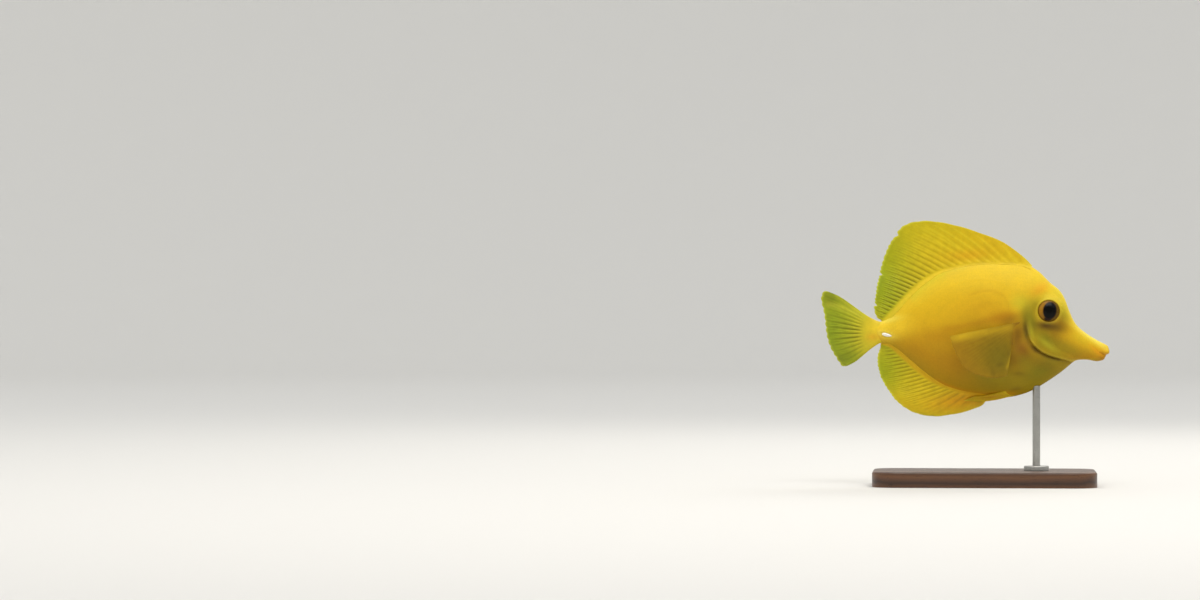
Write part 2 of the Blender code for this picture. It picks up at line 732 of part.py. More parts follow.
def build_stand_rod():
    """The stand's rod, whose tip is hollowed to hold the breast, and the collar it stands on."""
    low = BASE_THICKNESS + GAP
    high = low + COLLAR_HEIGHT
    edge = COLLAR_RADIUS - COLLAR_EDGE
    collar = turned(
        "stand_collar",
        ((0, high), (edge, high), (COLLAR_RADIUS, high - COLLAR_EDGE), (COLLAR_RADIUS, low), (0, low)),
    )
    finish(collar, STEEL, 0.3, 1.0)
    foot = high + GAP
    top = AXIS_HEIGHT + body_line(ROD_X, BELLY) + ROD_EMBRACE
    rod = turned("stand_rod", ((0, top), (ROD_RADIUS, top), (ROD_RADIUS, foot), (0, foot)))
    combine(rod, "DIFFERENCE", [body_shape("whole_body", grow=GAP)])
    return finish(rod, STEEL, 0.3, 1.0)


def main():
    """Builds every part of the fish and its stand."""
    build_head()
    build_lower_jaw()
    build_trunk()
    build_stalk()
    median_fin(
        "dorsal_fin", DORSAL_ROOT, BACK, DORSAL_MARGIN,
        DORSAL_RAYS, DORSAL_ROWS, DORSAL_CROWDING, DORSAL_SWEEP,
    )
    median_fin(
        "anal_fin", ANAL_ROOT, BELLY, ANAL_MARGIN,
        ANAL_RAYS, ANAL_ROWS, ANAL_CROWDING, ANAL_SWEEP,
    )
    build_tail_fin()
    for side in (-1, 1):
        build_pectoral_fin(side)
        build_pelvic_fin(side)
        build_eye(side)
        build_tail_spine(side)
    build_stand_base()
    build_stand_rod()


for leftover in list(bpy.data.objects):
    bpy.data.objects.remove(leftover)
MODEL = bpy.data.collections.new("yellow_tang")
bpy.context.scene.collection.children.link(MODEL)
main()
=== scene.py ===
"""Looks of the yellow tang museum model: skin, rayed fins, glass eyes, stand, studio and camera.

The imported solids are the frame. Each class below builds the pieces that stand for some of its
nodes, and each finish is a material named for what it is in the workshop. Sizes on the fish are
millimetres about its body axis: x towards the snout, h up from the level line through the tail
stalk, side from the middle plane, with the fish's right at negative side.
"""

import logging
import math
from collections.abc import Callable
from dataclasses import dataclass, field
from enum import Enum

import bpy
import numpy as np
from mathutils import Matrix, Vector


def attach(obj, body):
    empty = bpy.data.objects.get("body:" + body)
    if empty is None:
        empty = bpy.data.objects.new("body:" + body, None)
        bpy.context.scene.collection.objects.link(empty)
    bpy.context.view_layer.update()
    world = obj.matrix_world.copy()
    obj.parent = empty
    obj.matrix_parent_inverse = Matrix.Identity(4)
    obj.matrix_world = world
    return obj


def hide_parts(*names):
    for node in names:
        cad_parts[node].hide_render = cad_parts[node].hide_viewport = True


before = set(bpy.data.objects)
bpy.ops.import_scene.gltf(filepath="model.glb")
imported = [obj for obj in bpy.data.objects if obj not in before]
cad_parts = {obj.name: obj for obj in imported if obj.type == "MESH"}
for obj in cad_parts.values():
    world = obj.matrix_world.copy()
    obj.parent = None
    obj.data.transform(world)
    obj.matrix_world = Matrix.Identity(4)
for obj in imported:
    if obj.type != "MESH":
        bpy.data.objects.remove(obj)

LOG = logging.getLogger("yellow_tang")
MM = 0.001
AXIS_HEIGHT = 80.0  # body axis above the floor
BACK, BELLY, WIDTH = 1, 2, 3  # columns of the body lines
Rows = tuple[tuple[float, ...], ...]


class Side(Enum):
    """Which side of the fish a paired piece is on, as the sign of its place across the fish."""

    RIGHT = -1
    LEFT = 1


class Edge(Enum):
    """The body line that a median fin stands on, as its column in the body lines."""

    BACK = 1
    BELLY = 2

    @property
    def outward(self) -> int:
        """Which way is out of the body there: 1 is up and -1 is down."""
        return 1 if self is Edge.BACK else -1


class Part(Enum):
    """Which parts of a mesh an edit picks, as the mesh names them."""

    EDGES = "edges"
    FACES = "polygons"


# Curves and soft masks


def smooth_line(rows: Rows, count: int = 600) -> np.ndarray:
    """Samples the smooth curve through some rows.

    Args:
        rows: places or values that the curve passes through in order.
        count: how many samples to take.

    Returns:
        The samples, one row each, evenly spaced between neighbouring rows.
    """
    given = np.array(rows, float)
    last = len(given) - 1
    position = np.linspace(0, last, count)
    start = np.clip(position.astype(int), 0, last - 1)
    t = (position - start)[:, None]
    before, a, b, after = (given[np.clip(start + k, 0, last)] for k in (-1, 0, 1, 2))
    return 0.5 * (
        2 * a + (b - before) * t
        + (2 * before - 5 * a + 4 * b - after) * t**2
        + (3 * a - before - 3 * b + after) * t**3
    )


def along_line(points: np.ndarray, share: np.ndarray) -> np.ndarray:
    """Finds places at shares of a line's length.

    Args:
        points: the line, densely sampled.
        share: shares of its length, from 0 to 1.

    Returns:
        One place for each share, with the line's own columns last.
    """
    steps = np.linalg.norm(np.diff(points, axis=0), axis=1)
    reached = np.concatenate([[0], np.cumsum(steps)])
    wanted = np.asarray(share) * reached[-1]
    return np.stack([np.interp(wanted, reached, points[:, k]) for k in range(points.shape[1])], axis=-1)


def soft_step(low: float, high: float, value: np.ndarray) -> np.ndarray:
    """Rises softly from 0 to 1.

    Args:
        low: value up to which the result is 0. It may be larger than high.
        high: value from which the result is 1.
        value: where to read it.

    Returns:
        The step at each value.
    """
    t = np.clip((np.asarray(value, float) - low) / (high - low), 0, 1)
    return t * t * (3 - 2 * t)


def bell(offset: np.ndarray, reach: float | np.ndarray) -> np.ndarray:
    """Falls from 1 at no offset to about a third at the reach, to either side."""
    return np.exp(-((offset / reach) ** 2))


def table(rows: Rows | np.ndarray, value: np.ndarray) -> np.ndarray:
    """Reads a table of value and result, with straight lines between its rows."""
    given = np.array(rows, float)
    return np.interp(value, given[:, 0], given[:, 1])


def to_route(route: Rows, x: np.ndarray, h: np.ndarray) -> tuple[np.ndarray, np.ndarray, np.ndarray]:
    """Measures how places lie about a smooth route on the side view.

    Args:
        route: the points that the route passes through.
        x: places along the fish.
        h: their heights.

    Returns:
        Distance to the route, the same signed positive on the route's left, and the share of the
        route's length at the nearest point.
    """
    line = smooth_line(route, 24 * (len(route) - 1) + 1)
    place = np.stack([x, h], axis=1)
    best = np.full(len(place), np.inf)
    signed = np.zeros(len(place))
    share = np.zeros(len(place))
    lengths = np.linalg.norm(np.diff(line, axis=0), axis=1)
    reached = np.concatenate([[0], np.cumsum(lengths)])
    for k, (a, b) in enumerate(zip(line[:-1], line[1:])):
        step = b - a
        t = np.clip((place - a) @ step / (step @ step), 0, 1)
        off = place - (a + t[:, None] * step)
        distance = np.linalg.norm(off, axis=1)
        near = distance < best
        side = step[0] * off[:, 1] - step[1] * off[:, 0]
        best = np.where(near, distance, best)
        signed = np.where(near, np.copysign(distance, side), signed)
        share = np.where(near, (reached[k] + t * lengths[k]) / reached[-1], share)
    return best, signed, share


def scattered(count: int, seed: int) -> np.ndarray:
    """Gives count fixed values between -1 and 1, the same in every run."""
    return np.random.default_rng(seed).uniform(-1, 1, count)


@dataclass(frozen=True)
class Spot:
    """One soft pass of the airbrush: its middle, its reach along and across, lean and strength."""

    x: float
    h: float
    along: float
    across: float
    lean: float = 0.0
    strength: float = 1.0

    def cover(self, x: np.ndarray, h: np.ndarray) -> np.ndarray:
        """How much paint the pass leaves at each place.

        Args:
            x: places along the fish.
            h: their heights.

        Returns:
            The paint at each place, at most the pass's strength.
        """
        turn = math.radians(self.lean)
        u = (x - self.x) * math.cos(turn) + (h - self.h) * math.sin(turn)
        v = (h - self.h) * math.cos(turn) - (x - self.x) * math.sin(turn)
        return self.strength * np.exp(-((u / self.along) ** 2) - (v / self.across) ** 2)


@dataclass(frozen=True)
class Stroke:
    """One drawn line of the airbrush, with its reach to either side and its strength."""

    route: Rows
    reach: float
    strength: float = 1.0
    offset: float = 0.0  # to the route's left

    def cover(self, x: np.ndarray, h: np.ndarray) -> np.ndarray:
        """How much paint the stroke leaves at each place.

        Args:
            x: places along the fish.
            h: their heights.

        Returns:
            The paint at each place, at most the stroke's strength.
        """
        distance, signed, share = to_route(self.route, x, h)
        fade = soft_step(0, 0.12, share) * soft_step(1, 0.88, share)
        off = signed - self.offset if self.offset else distance
        return self.strength * fade * bell(off, self.reach)


@dataclass(frozen=True)
class OrbitRing:
    """A painted ring round the eye."""

    centre: tuple[float, float]
    radius: float
    reach: float
    strength: float

    def cover(self, x: np.ndarray, h: np.ndarray) -> np.ndarray:
        """How much paint the ring leaves at each place."""
        away = np.hypot(x - self.centre[0], h - self.centre[1])
        return self.strength * bell(away - self.radius, self.reach)


@dataclass(frozen=True)
class Coat:
    """One colour sprayed over the last, where its passes leave it."""

    name: str
    colour: str
    passes: tuple[Spot | Stroke | OrbitRing, ...]

    def cover(self, x: np.ndarray, h: np.ndarray) -> np.ndarray:
        """How far the colour covers what is under it, from 0 to 1.

        Args:
            x: places along the fish.
            h: their heights.

        Returns:
            The cover at each place.
        """
        bare = np.ones(len(x))
        for sprayed in self.passes:
            bare *= 1 - np.clip(sprayed.cover(x, h), 0, 1)
        return 1 - bare


# Materials


def paint(hex_colour: str) -> tuple[float, float, float, float]:
    """Turns an sRGB hex colour into linear light.

    Args:
        hex_colour: the colour as six hex digits after a hash.

    Returns:
        Linear red, green, blue and full opacity.
    """
    parts = [int(hex_colour[k:k + 2], 16) / 255 for k in (1, 3, 5)]
    linear = [c / 12.92 if c <= 0.04045 else ((c + 0.055) / 1.055) ** 2.4 for c in parts]
    return (*linear, 1.0)


def feed(material: bpy.types.Material, node: bpy.types.Node, inputs: dict) -> None:
    """Sets a node's own inputs, and links those that another node feeds.

    Args:
        material: the node's material.
        node: the node.
        inputs: by input name or number, a value, a hex colour, a socket, or a node whose first
            output is meant.
    """
    for key, value in inputs.items():
        if isinstance(value, bpy.types.Node):
            value = value.outputs[0]
        if isinstance(value, bpy.types.NodeSocket):
            material.node_tree.links.new(value, node.inputs[key])
        else:
            node.inputs[key].default_value = paint(value) if isinstance(value, str) else value


def add_node(material: bpy.types.Material, kind: str, inputs: dict | None = None,
             ramp: tuple | None = None, **settings: object) -> bpy.types.Node:
    """Adds one node to a material, with its settings, values and links.

    Args:
        material: the material whose tree gets the node.
        kind: the node's type, without the ShaderNode before it.
        inputs: what its inputs get, as feed takes it.
        ramp: stops of position and hex colour, for a colour ramp.
        **settings: the node's own properties.

    Returns:
        The new node.
    """
    node = material.node_tree.nodes.new("ShaderNode" + kind)
    for name, value in settings.items():
        setattr(node, name, value)
    feed(material, node, inputs or {})
    if ramp:
        stops = node.color_ramp.elements
        while len(stops) < len(ramp):
            stops.new(0.5)
        for stop, (position, colour) in zip(stops, ramp):
            stop.position = position
            stop.color = paint(colour)
    return node


def new_material(name: str) -> tuple[bpy.types.Material, bpy.types.Node, bpy.types.NodeSocket]:
    """Starts a material.

    Args:
        name: the finish's name.

    Returns:
        The material, its Principled shader, and the place on the object that patterns read.
    """
    material = bpy.data.materials.new(name)
    material.use_nodes = True
    place = add_node(material, "TexCoord").outputs["Object"]
    return material, material.node_tree.nodes["Principled BSDF"], place


def lay_coat(material: bpy.types.Material, name: str, under: bpy.types.NodeSocket,
             colour: str) -> bpy.types.NodeSocket:
    """Lays one coat of paint over the last, where the piece's attribute of its name says so.

    Args:
        material: the material.
        name: the attribute's name.
        under: the colour so far.
        colour: the coat's hex colour.

    Returns:
        The colour with the coat on it.
    """
    cover = add_node(material, "Attribute", attribute_name=name).outputs["Fac"]
    return add_node(material, "Mix", {0: cover, 6: under, 7: colour}, data_type="RGBA").outputs[2]


@dataclass(frozen=True)
class SkinFinish:
    """Airbrushed fish skin: acrylic over resin, cast with fine scales, under a satin varnish.

    To the eye it is a soft lemon yellow with a velvet grain, never a mirror.
    """

    coats: tuple[Coat, ...]
    # the ramp darkens towards the belly as painted shade of the lower body
    heights: tuple[tuple[float, str], ...] = (  # from the belly up to the back
        (0.0, "#a2860f"), (0.2, "#b88f0f"), (0.5, "#d3a616"), (0.75, "#dcb41a"), (1.0, "#e6c52a"),
    )
    scale_mm: float = 0.9  # the real scales, near 0.5 mm, drawn as coarse as they need to show
    scale_height_mm: float = 0.05
    mottle_mm: float = 7.0
    grain_mm: float = 0.35
    roughness: float = 0.48
    ior: float = 1.42  # thin acrylic varnish

    def material(self) -> bpy.types.Material:
        """Makes the skin's material from the heights of the body and the sprayed coats.

        Returns:
            The material.
        """
        material, shader, place = new_material("airbrushed_scaled_skin")
        # the ramp by height paints shade, darker towards the belly
        level = add_node(material, "Attribute", attribute_name="level").outputs["Fac"]
        colour = add_node(material, "ValToRGB", {"Fac": level}, ramp=self.heights).outputs["Color"]
        for coat in self.coats:
            colour = lay_coat(material, coat.name, colour, coat.colour)
        mottle = add_node(
            material, "TexNoise",
            {"Vector": place, "Scale": 1 / (self.mottle_mm * MM), "Detail": 5.0, "Roughness": 0.6},
        )
        mottled = add_node(material, "MapRange", {0: mottle, 1: 0.3, 2: 0.7, 3: 0.95, 4: 1.04})
        scales = add_node(
            material, "TexVoronoi",
            {"Vector": place, "Scale": 1 / (self.scale_mm * MM), "Randomness": 0.55}, feature="F1",
        )
        rims = add_node(material, "MapRange", {0: scales, 1: 0.25, 2: 0.75, 3: 1.02, 4: 0.95})
        shade = add_node(material, "Math", {0: mottled, 1: rims}, operation="MULTIPLY")
        colour = add_node(material, "VectorMath", {0: colour, "Scale": shade}, operation="SCALE")
        grain = add_node(
            material, "TexNoise",
            {"Vector": place, "Scale": 1 / (self.grain_mm * MM), "Detail": 3.0, "Roughness": 0.6},
        )
        dull = add_node(
            material, "MapRange",
            {0: mottle, 1: 0.3, 2: 0.7, 3: self.roughness - 0.05, 4: self.roughness + 0.07},
        )
        soft = add_node(material, "Bump", {"Strength": 0.35, "Distance": 0.03 * MM, "Height": grain})
        bump = add_node(
            material, "Bump",
            {"Strength": 0.55, "Distance": self.scale_height_mm * MM, "Height": scales, "Normal": soft},
            invert=True,
        )
        feed(material, shader, {
            "Base Color": colour, "Roughness": dull, "IOR": self.ior, "Normal": bump,
            "Specular IOR Level": 0.22, "Subsurface Weight": 0.06, "Subsurface Radius": (1.0, 0.55, 0.15),
            "Subsurface Scale": 0.8 * MM,
        })
        return material


@dataclass(frozen=True)
class FinFinish:
    """Thin fin web cast in tinted resin: satin, paler over the rays as partly painted highlight, with dark
    olive painted shade between them.
    """

    coats: tuple[Coat, ...]
    name: str
    web: str
    flesh: str
    # between_rays is painted shade in the grooves between the rays; over_rays is partly painted highlight on
    # their crests
    between_rays: str = "#545304"
    over_rays: str = "#e0cc28"
    margin: str = "#dcdc52"
    joint_mm: float = 0.7  # from one joint of a ray to the next
    mottle_mm: float = 3.5
    grain_mm: float = 0.3
    roughness: float = 0.42
    ior: float = 1.45  # clear casting resin

    def material(self) -> bpy.types.Material:
        """Makes the web's material from the rays' own attributes and the sprayed coats.

        Returns:
            The material.
        """
        material, shader, place = new_material(self.name)
        colour = add_node(material, "RGB").outputs[0]
        colour.default_value = paint(self.web)
        # ray_light lays the partly painted highlight on the ray crests, ray_gap the painted shade between
        # the rays
        layers = [("ray_light", self.over_rays), *((coat.name, coat.colour) for coat in self.coats)]
        layers += [("ray_gap", self.between_rays), ("margin", self.margin), ("flesh", self.flesh)]
        for name, hex_colour in layers:
            colour = lay_coat(material, name, colour, hex_colour)
        mottle = add_node(
            material, "TexNoise",
            {"Vector": place, "Scale": 1 / (self.mottle_mm * MM), "Detail": 5.0, "Roughness": 0.65},
        )
        shade = add_node(material, "MapRange", {0: mottle, 1: 0.3, 2: 0.7, 3: 0.9, 4: 1.08})
        colour = add_node(material, "VectorMath", {0: colour, "Scale": shade}, operation="SCALE")
        run = add_node(material, "Attribute", attribute_name="ray_run").outputs["Fac"]
        joints = add_node(
            material, "Math", {0: run, 1: 2 * math.pi / self.joint_mm}, operation="MULTIPLY"
        )
        wave = add_node(material, "Math", {0: joints}, operation="SINE")
        grain = add_node(
            material, "TexNoise", {"Vector": place, "Scale": 1 / (self.grain_mm * MM), "Detail": 2.0}
        )
        height = add_node(material, "Math", {0: wave, 1: 0.3, 2: grain}, operation="MULTIPLY_ADD")
        bump = add_node(material, "Bump", {"Strength": 0.35, "Distance": 0.03 * MM, "Height": height})
        dull = add_node(
            material, "MapRange",
            {0: mottle, 1: 0.3, 2: 0.7, 3: self.roughness - 0.05, 4: self.roughness + 0.06},
        )
        feed(material, shader, {
            "Base Color": colour, "Roughness": dull, "IOR": self.ior, "Normal": bump,
            "Specular IOR Level": 0.22, "Subsurface Weight": 0.15, "Subsurface Radius": (1.0, 0.9, 0.25),
            "Subsurface Scale": 0.6 * MM,
        })
        return material


@dataclass(frozen=True)
class EyeFinish:
    """Painted glass eye: a gold ring and a black pupil under clear, polished glass."""

    pupil_centre: tuple[float, float] = (33.8, 11.2)
    pupil_reach: tuple[float, float] = (3.15, 4.05)
    pupil_lean_deg: float = 8.0
    notch_centre: tuple[float, float] = (32.8, 7.0)  # the pupil's lower corner, as in the living fish
    notch_reach: tuple[float, float] = (2.3, 1.3)
    ring_centre: tuple[float, float] = (33.4, 11.05)
    ring_reach: tuple[float, float] = (5.55, 5.55)
    pupil: str = "#020201"
    halo: str = "#22100a"
    gold: str = "#9a6c18"
    shade: str = "#5a4408"
    rim: str = "#6f520c"
    ior: float = 1.38  # the cornea's, which the painted glass imitates

    def material(self) -> bpy.types.Material:
        """Makes the eye's material from rings about the pupil and about the eye.

        Returns:
            The material.
        """
        material, shader, place = new_material("painted_glass_eye")
        pupil_flat, ring_flat, notch_flat = (
            add_node(
                material, "Mapping",
                {"Vector": place, "Location": (x * MM, 0, (h + AXIS_HEIGHT) * MM),
                 "Rotation": (0, math.radians(lean), 0), "Scale": (reach_x * MM, 1000.0, reach_h * MM)},
                vector_type="TEXTURE",
            )
            for (x, h), (reach_x, reach_h), lean in (
                (self.pupil_centre, self.pupil_reach, self.pupil_lean_deg),
                (self.ring_centre, self.ring_reach, 0.0),
                (self.notch_centre, self.notch_reach, 0.0),
            )
        )
        from_pupil, from_ring, from_notch = (
            add_node(material, "VectorMath", {0: flat}, operation="LENGTH").outputs["Value"]
            for flat in (pupil_flat, ring_flat, notch_flat)
        )
        split = add_node(material, "SeparateXYZ", {0: pupil_flat}).outputs
        turn = add_node(material, "Math", {0: split["Z"], 1: split["X"]}, operation="ARCTAN2")
        spokes = add_node(material, "CombineXYZ", {0: turn, 1: from_pupil})
        fibres = add_node(
            material, "TexNoise", {"Vector": spokes, "Scale": 9.0, "Detail": 4.0, "Distortion": 0.4}
        )
        ring_split = add_node(material, "SeparateXYZ", {0: ring_flat}).outputs
        leaning = add_node(
            material, "Math", {0: ring_split["Z"], 1: -0.3, 2: ring_split["X"]}, operation="MULTIPLY_ADD"
        )
        rearward = add_node(material, "MapRange", {0: leaning, 1: -0.85, 2: 0.15, 3: 1.0, 4: 0.0})
        lively = add_node(material, "Math", {0: fibres, 1: 0.8, 2: rearward}, operation="MULTIPLY_ADD")
        gilt = add_node(material, "MapRange", {0: lively, 1: 0.35, 2: 1.3, 3: 0.0, 4: 1.0})
        round_pupil, corner, outer, hole = (
            add_node(
                material, "MapRange", {0: away, 1: start, 2: end, 3: first, 4: last},
                interpolation_type="SMOOTHSTEP",
            )
            for away, start, end, first, last in (
                (from_pupil, 1.02, 1.22, 1.0, 0.0), (from_notch, 0.6, 1.1, 1.0, 0.0),
                (from_ring, 0.86, 1.0, 0.0, 0.7), (from_pupil, 0.96, 1.03, 1.0, 0.0),
            )
        )
        halo = add_node(material, "Math", {0: round_pupil, 1: corner}, operation="MAXIMUM")
        colour = self.shade
        for cover, over in ((gilt, self.gold), (halo, self.halo), (outer, self.rim), (hole, self.pupil)):
            colour = add_node(
                material, "Mix", {0: cover, 6: colour, 7: over}, data_type="RGBA"
            ).outputs[2]
        bump = add_node(material, "Bump", {"Strength": 0.4, "Distance": 0.06 * MM, "Height": fibres})
        feed(material, shader, {
            "Base Color": colour, "Roughness": 0.3, "IOR": self.ior, "Normal": bump,
            "Specular IOR Level": 0.05, "Coat Weight": 0.3, "Coat Roughness": 0.03, "Coat IOR": self.ior,
        })
        return material


@dataclass(frozen=True)
class BladeFinish:
    """Bone-white cast resin, polished: the tail spine, with faint warm growth lines."""

    white: str = "#f4f1e6"
    warm: str = "#d9c48c"
    line_mm: float = 0.5
    ior: float = 1.5

    def material(self) -> bpy.types.Material:
        """Makes the blade's material, with growth lines along it.

        Returns:
            The material.
        """
        material, shader, place = new_material("polished_white_resin")
        long_way = add_node(material, "Mapping", {"Vector": place, "Scale": (0.15, 1.0, 1.0)})
        lines = add_node(
            material, "TexNoise", {"Vector": long_way, "Scale": 1 / (self.line_mm * MM), "Detail": 3.0}
        )
        tint = add_node(material, "MapRange", {0: lines, 1: 0.45, 2: 0.85, 3: 0.0, 4: 0.6})
        colour = add_node(
            material, "Mix", {0: tint, 6: self.white, 7: self.warm}, data_type="RGBA"
        ).outputs[2]
        bump = add_node(material, "Bump", {"Strength": 0.3, "Distance": 0.03 * MM, "Height": lines})
        feed(material, shader, {
            "Base Color": colour, "Roughness": 0.22, "IOR": self.ior, "Normal": bump,
            "Subsurface Weight": 0.1, "Subsurface Scale": 0.5 * MM, "Coat Weight": 0.3,
            "Coat Roughness": 0.1,
        })
        return material


@dataclass(frozen=True)
class WalnutFinish:
    """Oiled walnut, planed along the grain: dark brown with darker growth lines and open pores."""

    light: str = "#6a4529"
    dark: str = "#331d10"
    pore: str = "#1c0f08"
    ring_mm: float = 7.0
    drift_mm: float = 26.0
    pore_mm: float = 0.34
    roughness: float = 0.36
    ior: float = 1.47  # hard oil

    def material(self) -> bpy.types.Material:
        """Makes the wood's material, with its grain along the base.

        Returns:
            The material.
        """
        material, shader, place = new_material("oiled_walnut")
        board = add_node(
            material, "Mapping",
            {"Vector": place, "Location": (0, 0.013, 0.021), "Rotation": (0.12, 0.03, 0.05),
             "Scale": (0.07, 1.0, 1.0)},
        )
        drift = add_node(
            material, "TexNoise", {"Vector": board, "Scale": 1 / (self.drift_mm * MM), "Detail": 3.0}
        ).outputs["Color"]
        bent = add_node(
            material, "VectorMath", {0: drift, 1: (0.012, 0.012, 0.012), 2: board},
            operation="MULTIPLY_ADD",
        )
        rings = add_node(
            material, "TexWave",
            {"Vector": bent, "Scale": 2 * math.pi / (20 * self.ring_mm * MM), "Distortion": 2.5,
             "Detail": 4.0, "Detail Scale": 1.6, "Detail Roughness": 0.6},
            wave_type="RINGS", rings_direction="X", wave_profile="SAW",
        ).outputs["Fac"]
        wood = add_node(
            material, "ValToRGB", {"Fac": rings},
            ramp=((0.0, self.dark), (0.55, self.light), (1.0, self.dark)),
        )
        fine = add_node(material, "Mapping", {"Vector": place, "Scale": (0.06, 1.0, 1.0)})
        pores = add_node(
            material, "TexNoise",
            {"Vector": fine, "Scale": 1 / (self.pore_mm * MM), "Detail": 2.0, "Roughness": 0.5},
        )
        open_pores = add_node(material, "MapRange", {0: pores, 1: 0.58, 2: 0.7, 3: 0.0, 4: 0.55})
        colour = add_node(
            material, "Mix", {0: open_pores, 6: wood, 7: self.pore}, data_type="RGBA"
        ).outputs[2]
        bump = add_node(
            material, "Bump", {"Strength": 0.35, "Distance": 0.05 * MM, "Height": open_pores}, invert=True
        )
        dull = add_node(
            material, "MapRange",
            {0: open_pores, 1: 0.0, 2: 0.55, 3: self.roughness, 4: self.roughness + 0.2},
        )
        feed(material, shader, {
            "Base Color": colour, "Roughness": dull, "IOR": self.ior, "Normal": bump,
            "Coat Weight": 0.15, "Coat Roughness": 0.2,
        })
        return material


@dataclass(frozen=True)
class SteelFinish:
    """Stainless steel turned and brushed round its axis: grey, with fine bright rings."""

    colour: str = "#b9b8b4"
    worn: str = "#a3a29e"
    brush_mm: float = 0.18
    wear_mm: float = 6.0
    roughness: float = 0.3

    def material(self) -> bpy.types.Material:
        """Makes the steel's material, with its brushing round the upright axis.

        Returns:
            The material.
        """
        material, shader, place = new_material("brushed_stainless_steel")
        round_way = add_node(material, "Mapping", {"Vector": place, "Scale": (0.04, 0.04, 1.0)})
        brushing = add_node(
            material, "TexNoise",
            {"Vector": round_way, "Scale": 1 / (self.brush_mm * MM), "Detail": 3.0, "Roughness": 0.7},
        )
        handled = add_node(
            material, "TexNoise", {"Vector": place, "Scale": 1 / (self.wear_mm * MM), "Detail": 3.0}
        )
        colour = add_node(
            material, "Mix", {0: handled, 6: self.colour, 7: self.worn}, data_type="RGBA"
        ).outputs[2]
        dull = add_node(
            material, "MapRange",
            {0: brushing, 1: 0.3, 2: 0.7, 3: self.roughness - 0.04, 4: self.roughness + 0.05},
        )
        bump = add_node(material, "Bump", {"Strength": 0.2, "Distance": 0.004 * MM, "Height": brushing})
        feed(material, shader, {
            "Base Color": colour, "Metallic": 1.0, "Roughness": dull, "Normal": bump, "Anisotropic": 0.4,
        })
        return material


@dataclass(frozen=True)
class BackdropFinish:
    """Matt seamless paper, pale grey-white, with the faint tooth of paper."""

    colour: str = "#dfdedb"
    shade: str = "#dad9d5"
    tooth_mm: float = 0.8

    def material(self) -> bpy.types.Material:
        """Makes the paper's material.

        Returns:
            The material.
        """
        material, shader, place = new_material("matt_paper")
        tooth = add_node(
            material, "TexNoise", {"Vector": place, "Scale": 1 / (self.tooth_mm * MM), "Detail": 2.0}
        )
        colour = add_node(
            material, "Mix", {0: tooth, 6: self.colour, 7: self.shade}, data_type="RGBA"
        ).outputs[2]
        bump = add_node(material, "Bump", {"Strength": 0.15, "Distance": 0.05 * MM, "Height": tooth})
        feed(material, shader, {"Base Color": colour, "Roughness": 0.9, "Normal": bump})
        return material


# Modelling helpers


def start_clean() -> None:
    """Leaves edit mode and deselects everything, so that an operator acts on its own piece only."""
    if bpy.context.object and bpy.context.object.mode != "OBJECT":
        bpy.ops.object.mode_set(mode="OBJECT")
    bpy.ops.object.select_all(action="DESELECT")


def hold(piece: bpy.types.Object) -> None:
    """Selects one piece alone and makes it the active one.

    Args:
        piece: the object.
    """
    start_clean()
    piece.select_set(True)
    bpy.context.view_layer.objects.active = piece


def take(name: str) -> bpy.types.Object:
    """Names the primitive that was just added, and puts its place and size into its mesh.

    Args:
        name: the piece's name.

    Returns:
        The new object.
    """
    piece = bpy.context.object
    piece.name = piece.data.name = name
    bpy.ops.object.transform_apply(location=True, rotation=True, scale=True)
    return piece


def pick(piece: bpy.types.Object, part: Part, chosen: np.ndarray | list[bool]) -> None:
    """Selects only the chosen edges or faces of a piece, and leaves it in edit mode.

    Args:
        piece: the mesh object.
        part: whether edges or faces are picked.
        chosen: one truth value for each of them.
    """
    hold(piece)
    bpy.context.tool_settings.mesh_select_mode = (False, part is Part.EDGES, part is Part.FACES)
    bpy.ops.object.mode_set(mode="EDIT")
    bpy.ops.mesh.select_all(action="DESELECT")
    bpy.ops.object.mode_set(mode="OBJECT")
    getattr(piece.data, part.value).foreach_set("select", np.asarray(chosen, bool))
    bpy.ops.object.mode_set(mode="EDIT")


def read_places(mesh: bpy.types.Mesh) -> np.ndarray:
    """Reads a mesh's vertex places as rows.

    Args:
        mesh: the mesh.

    Returns:
        One row of x, y and z for each vertex.
    """
    flat = np.empty(len(mesh.vertices) * 3)
    mesh.vertices.foreach_get("co", flat)
    return flat.reshape(-1, 3)


def write_places(mesh: bpy.types.Mesh, places: np.ndarray) -> None:
    """Moves a mesh's vertices to the given rows."""
    mesh.vertices.foreach_set("co", np.ascontiguousarray(places, float).ravel())
    mesh.update()


def read_normals(mesh: bpy.types.Mesh) -> np.ndarray:
    """Reads a mesh's vertex normals as rows.

    Args:
        mesh: the mesh.

    Returns:
        One row of x, y and z for each vertex.
    """
    flat = np.empty(len(mesh.vertices) * 3)
    mesh.vertices.foreach_get("normal", flat)
    return flat.reshape(-1, 3)


def write_mask(mesh: bpy.types.Mesh, name: str, values: np.ndarray) -> None:
    """Stores one value for each vertex under a name that materials read."""
    layer = mesh.attributes.get(name) or mesh.attributes.new(name, "FLOAT", "POINT")
    layer.data.foreach_set("value", np.ascontiguousarray(values, float))


def subdivide_where(piece: bpy.types.Object, chosen: np.ndarray) -> None:
    """Subdivides the chosen faces of a piece once, in edit mode.

    Args:
        piece: the mesh object.
        chosen: one truth value for each face.
    """
    pick(piece, Part.FACES, chosen)
    bpy.ops.mesh.subdivide(number_cuts=1, smoothness=0)
    bpy.ops.object.mode_set(mode="OBJECT")


def face_outwards(piece: bpy.types.Object) -> None:
    """Turns all faces of a closed piece outwards.

    Args:
        piece: the mesh object.
    """
    hold(piece)
    bpy.ops.object.mode_set(mode="EDIT")
    bpy.ops.mesh.select_all(action="SELECT")
    bpy.ops.mesh.normals_make_consistent(inside=False)
    bpy.ops.object.mode_set(mode="OBJECT")


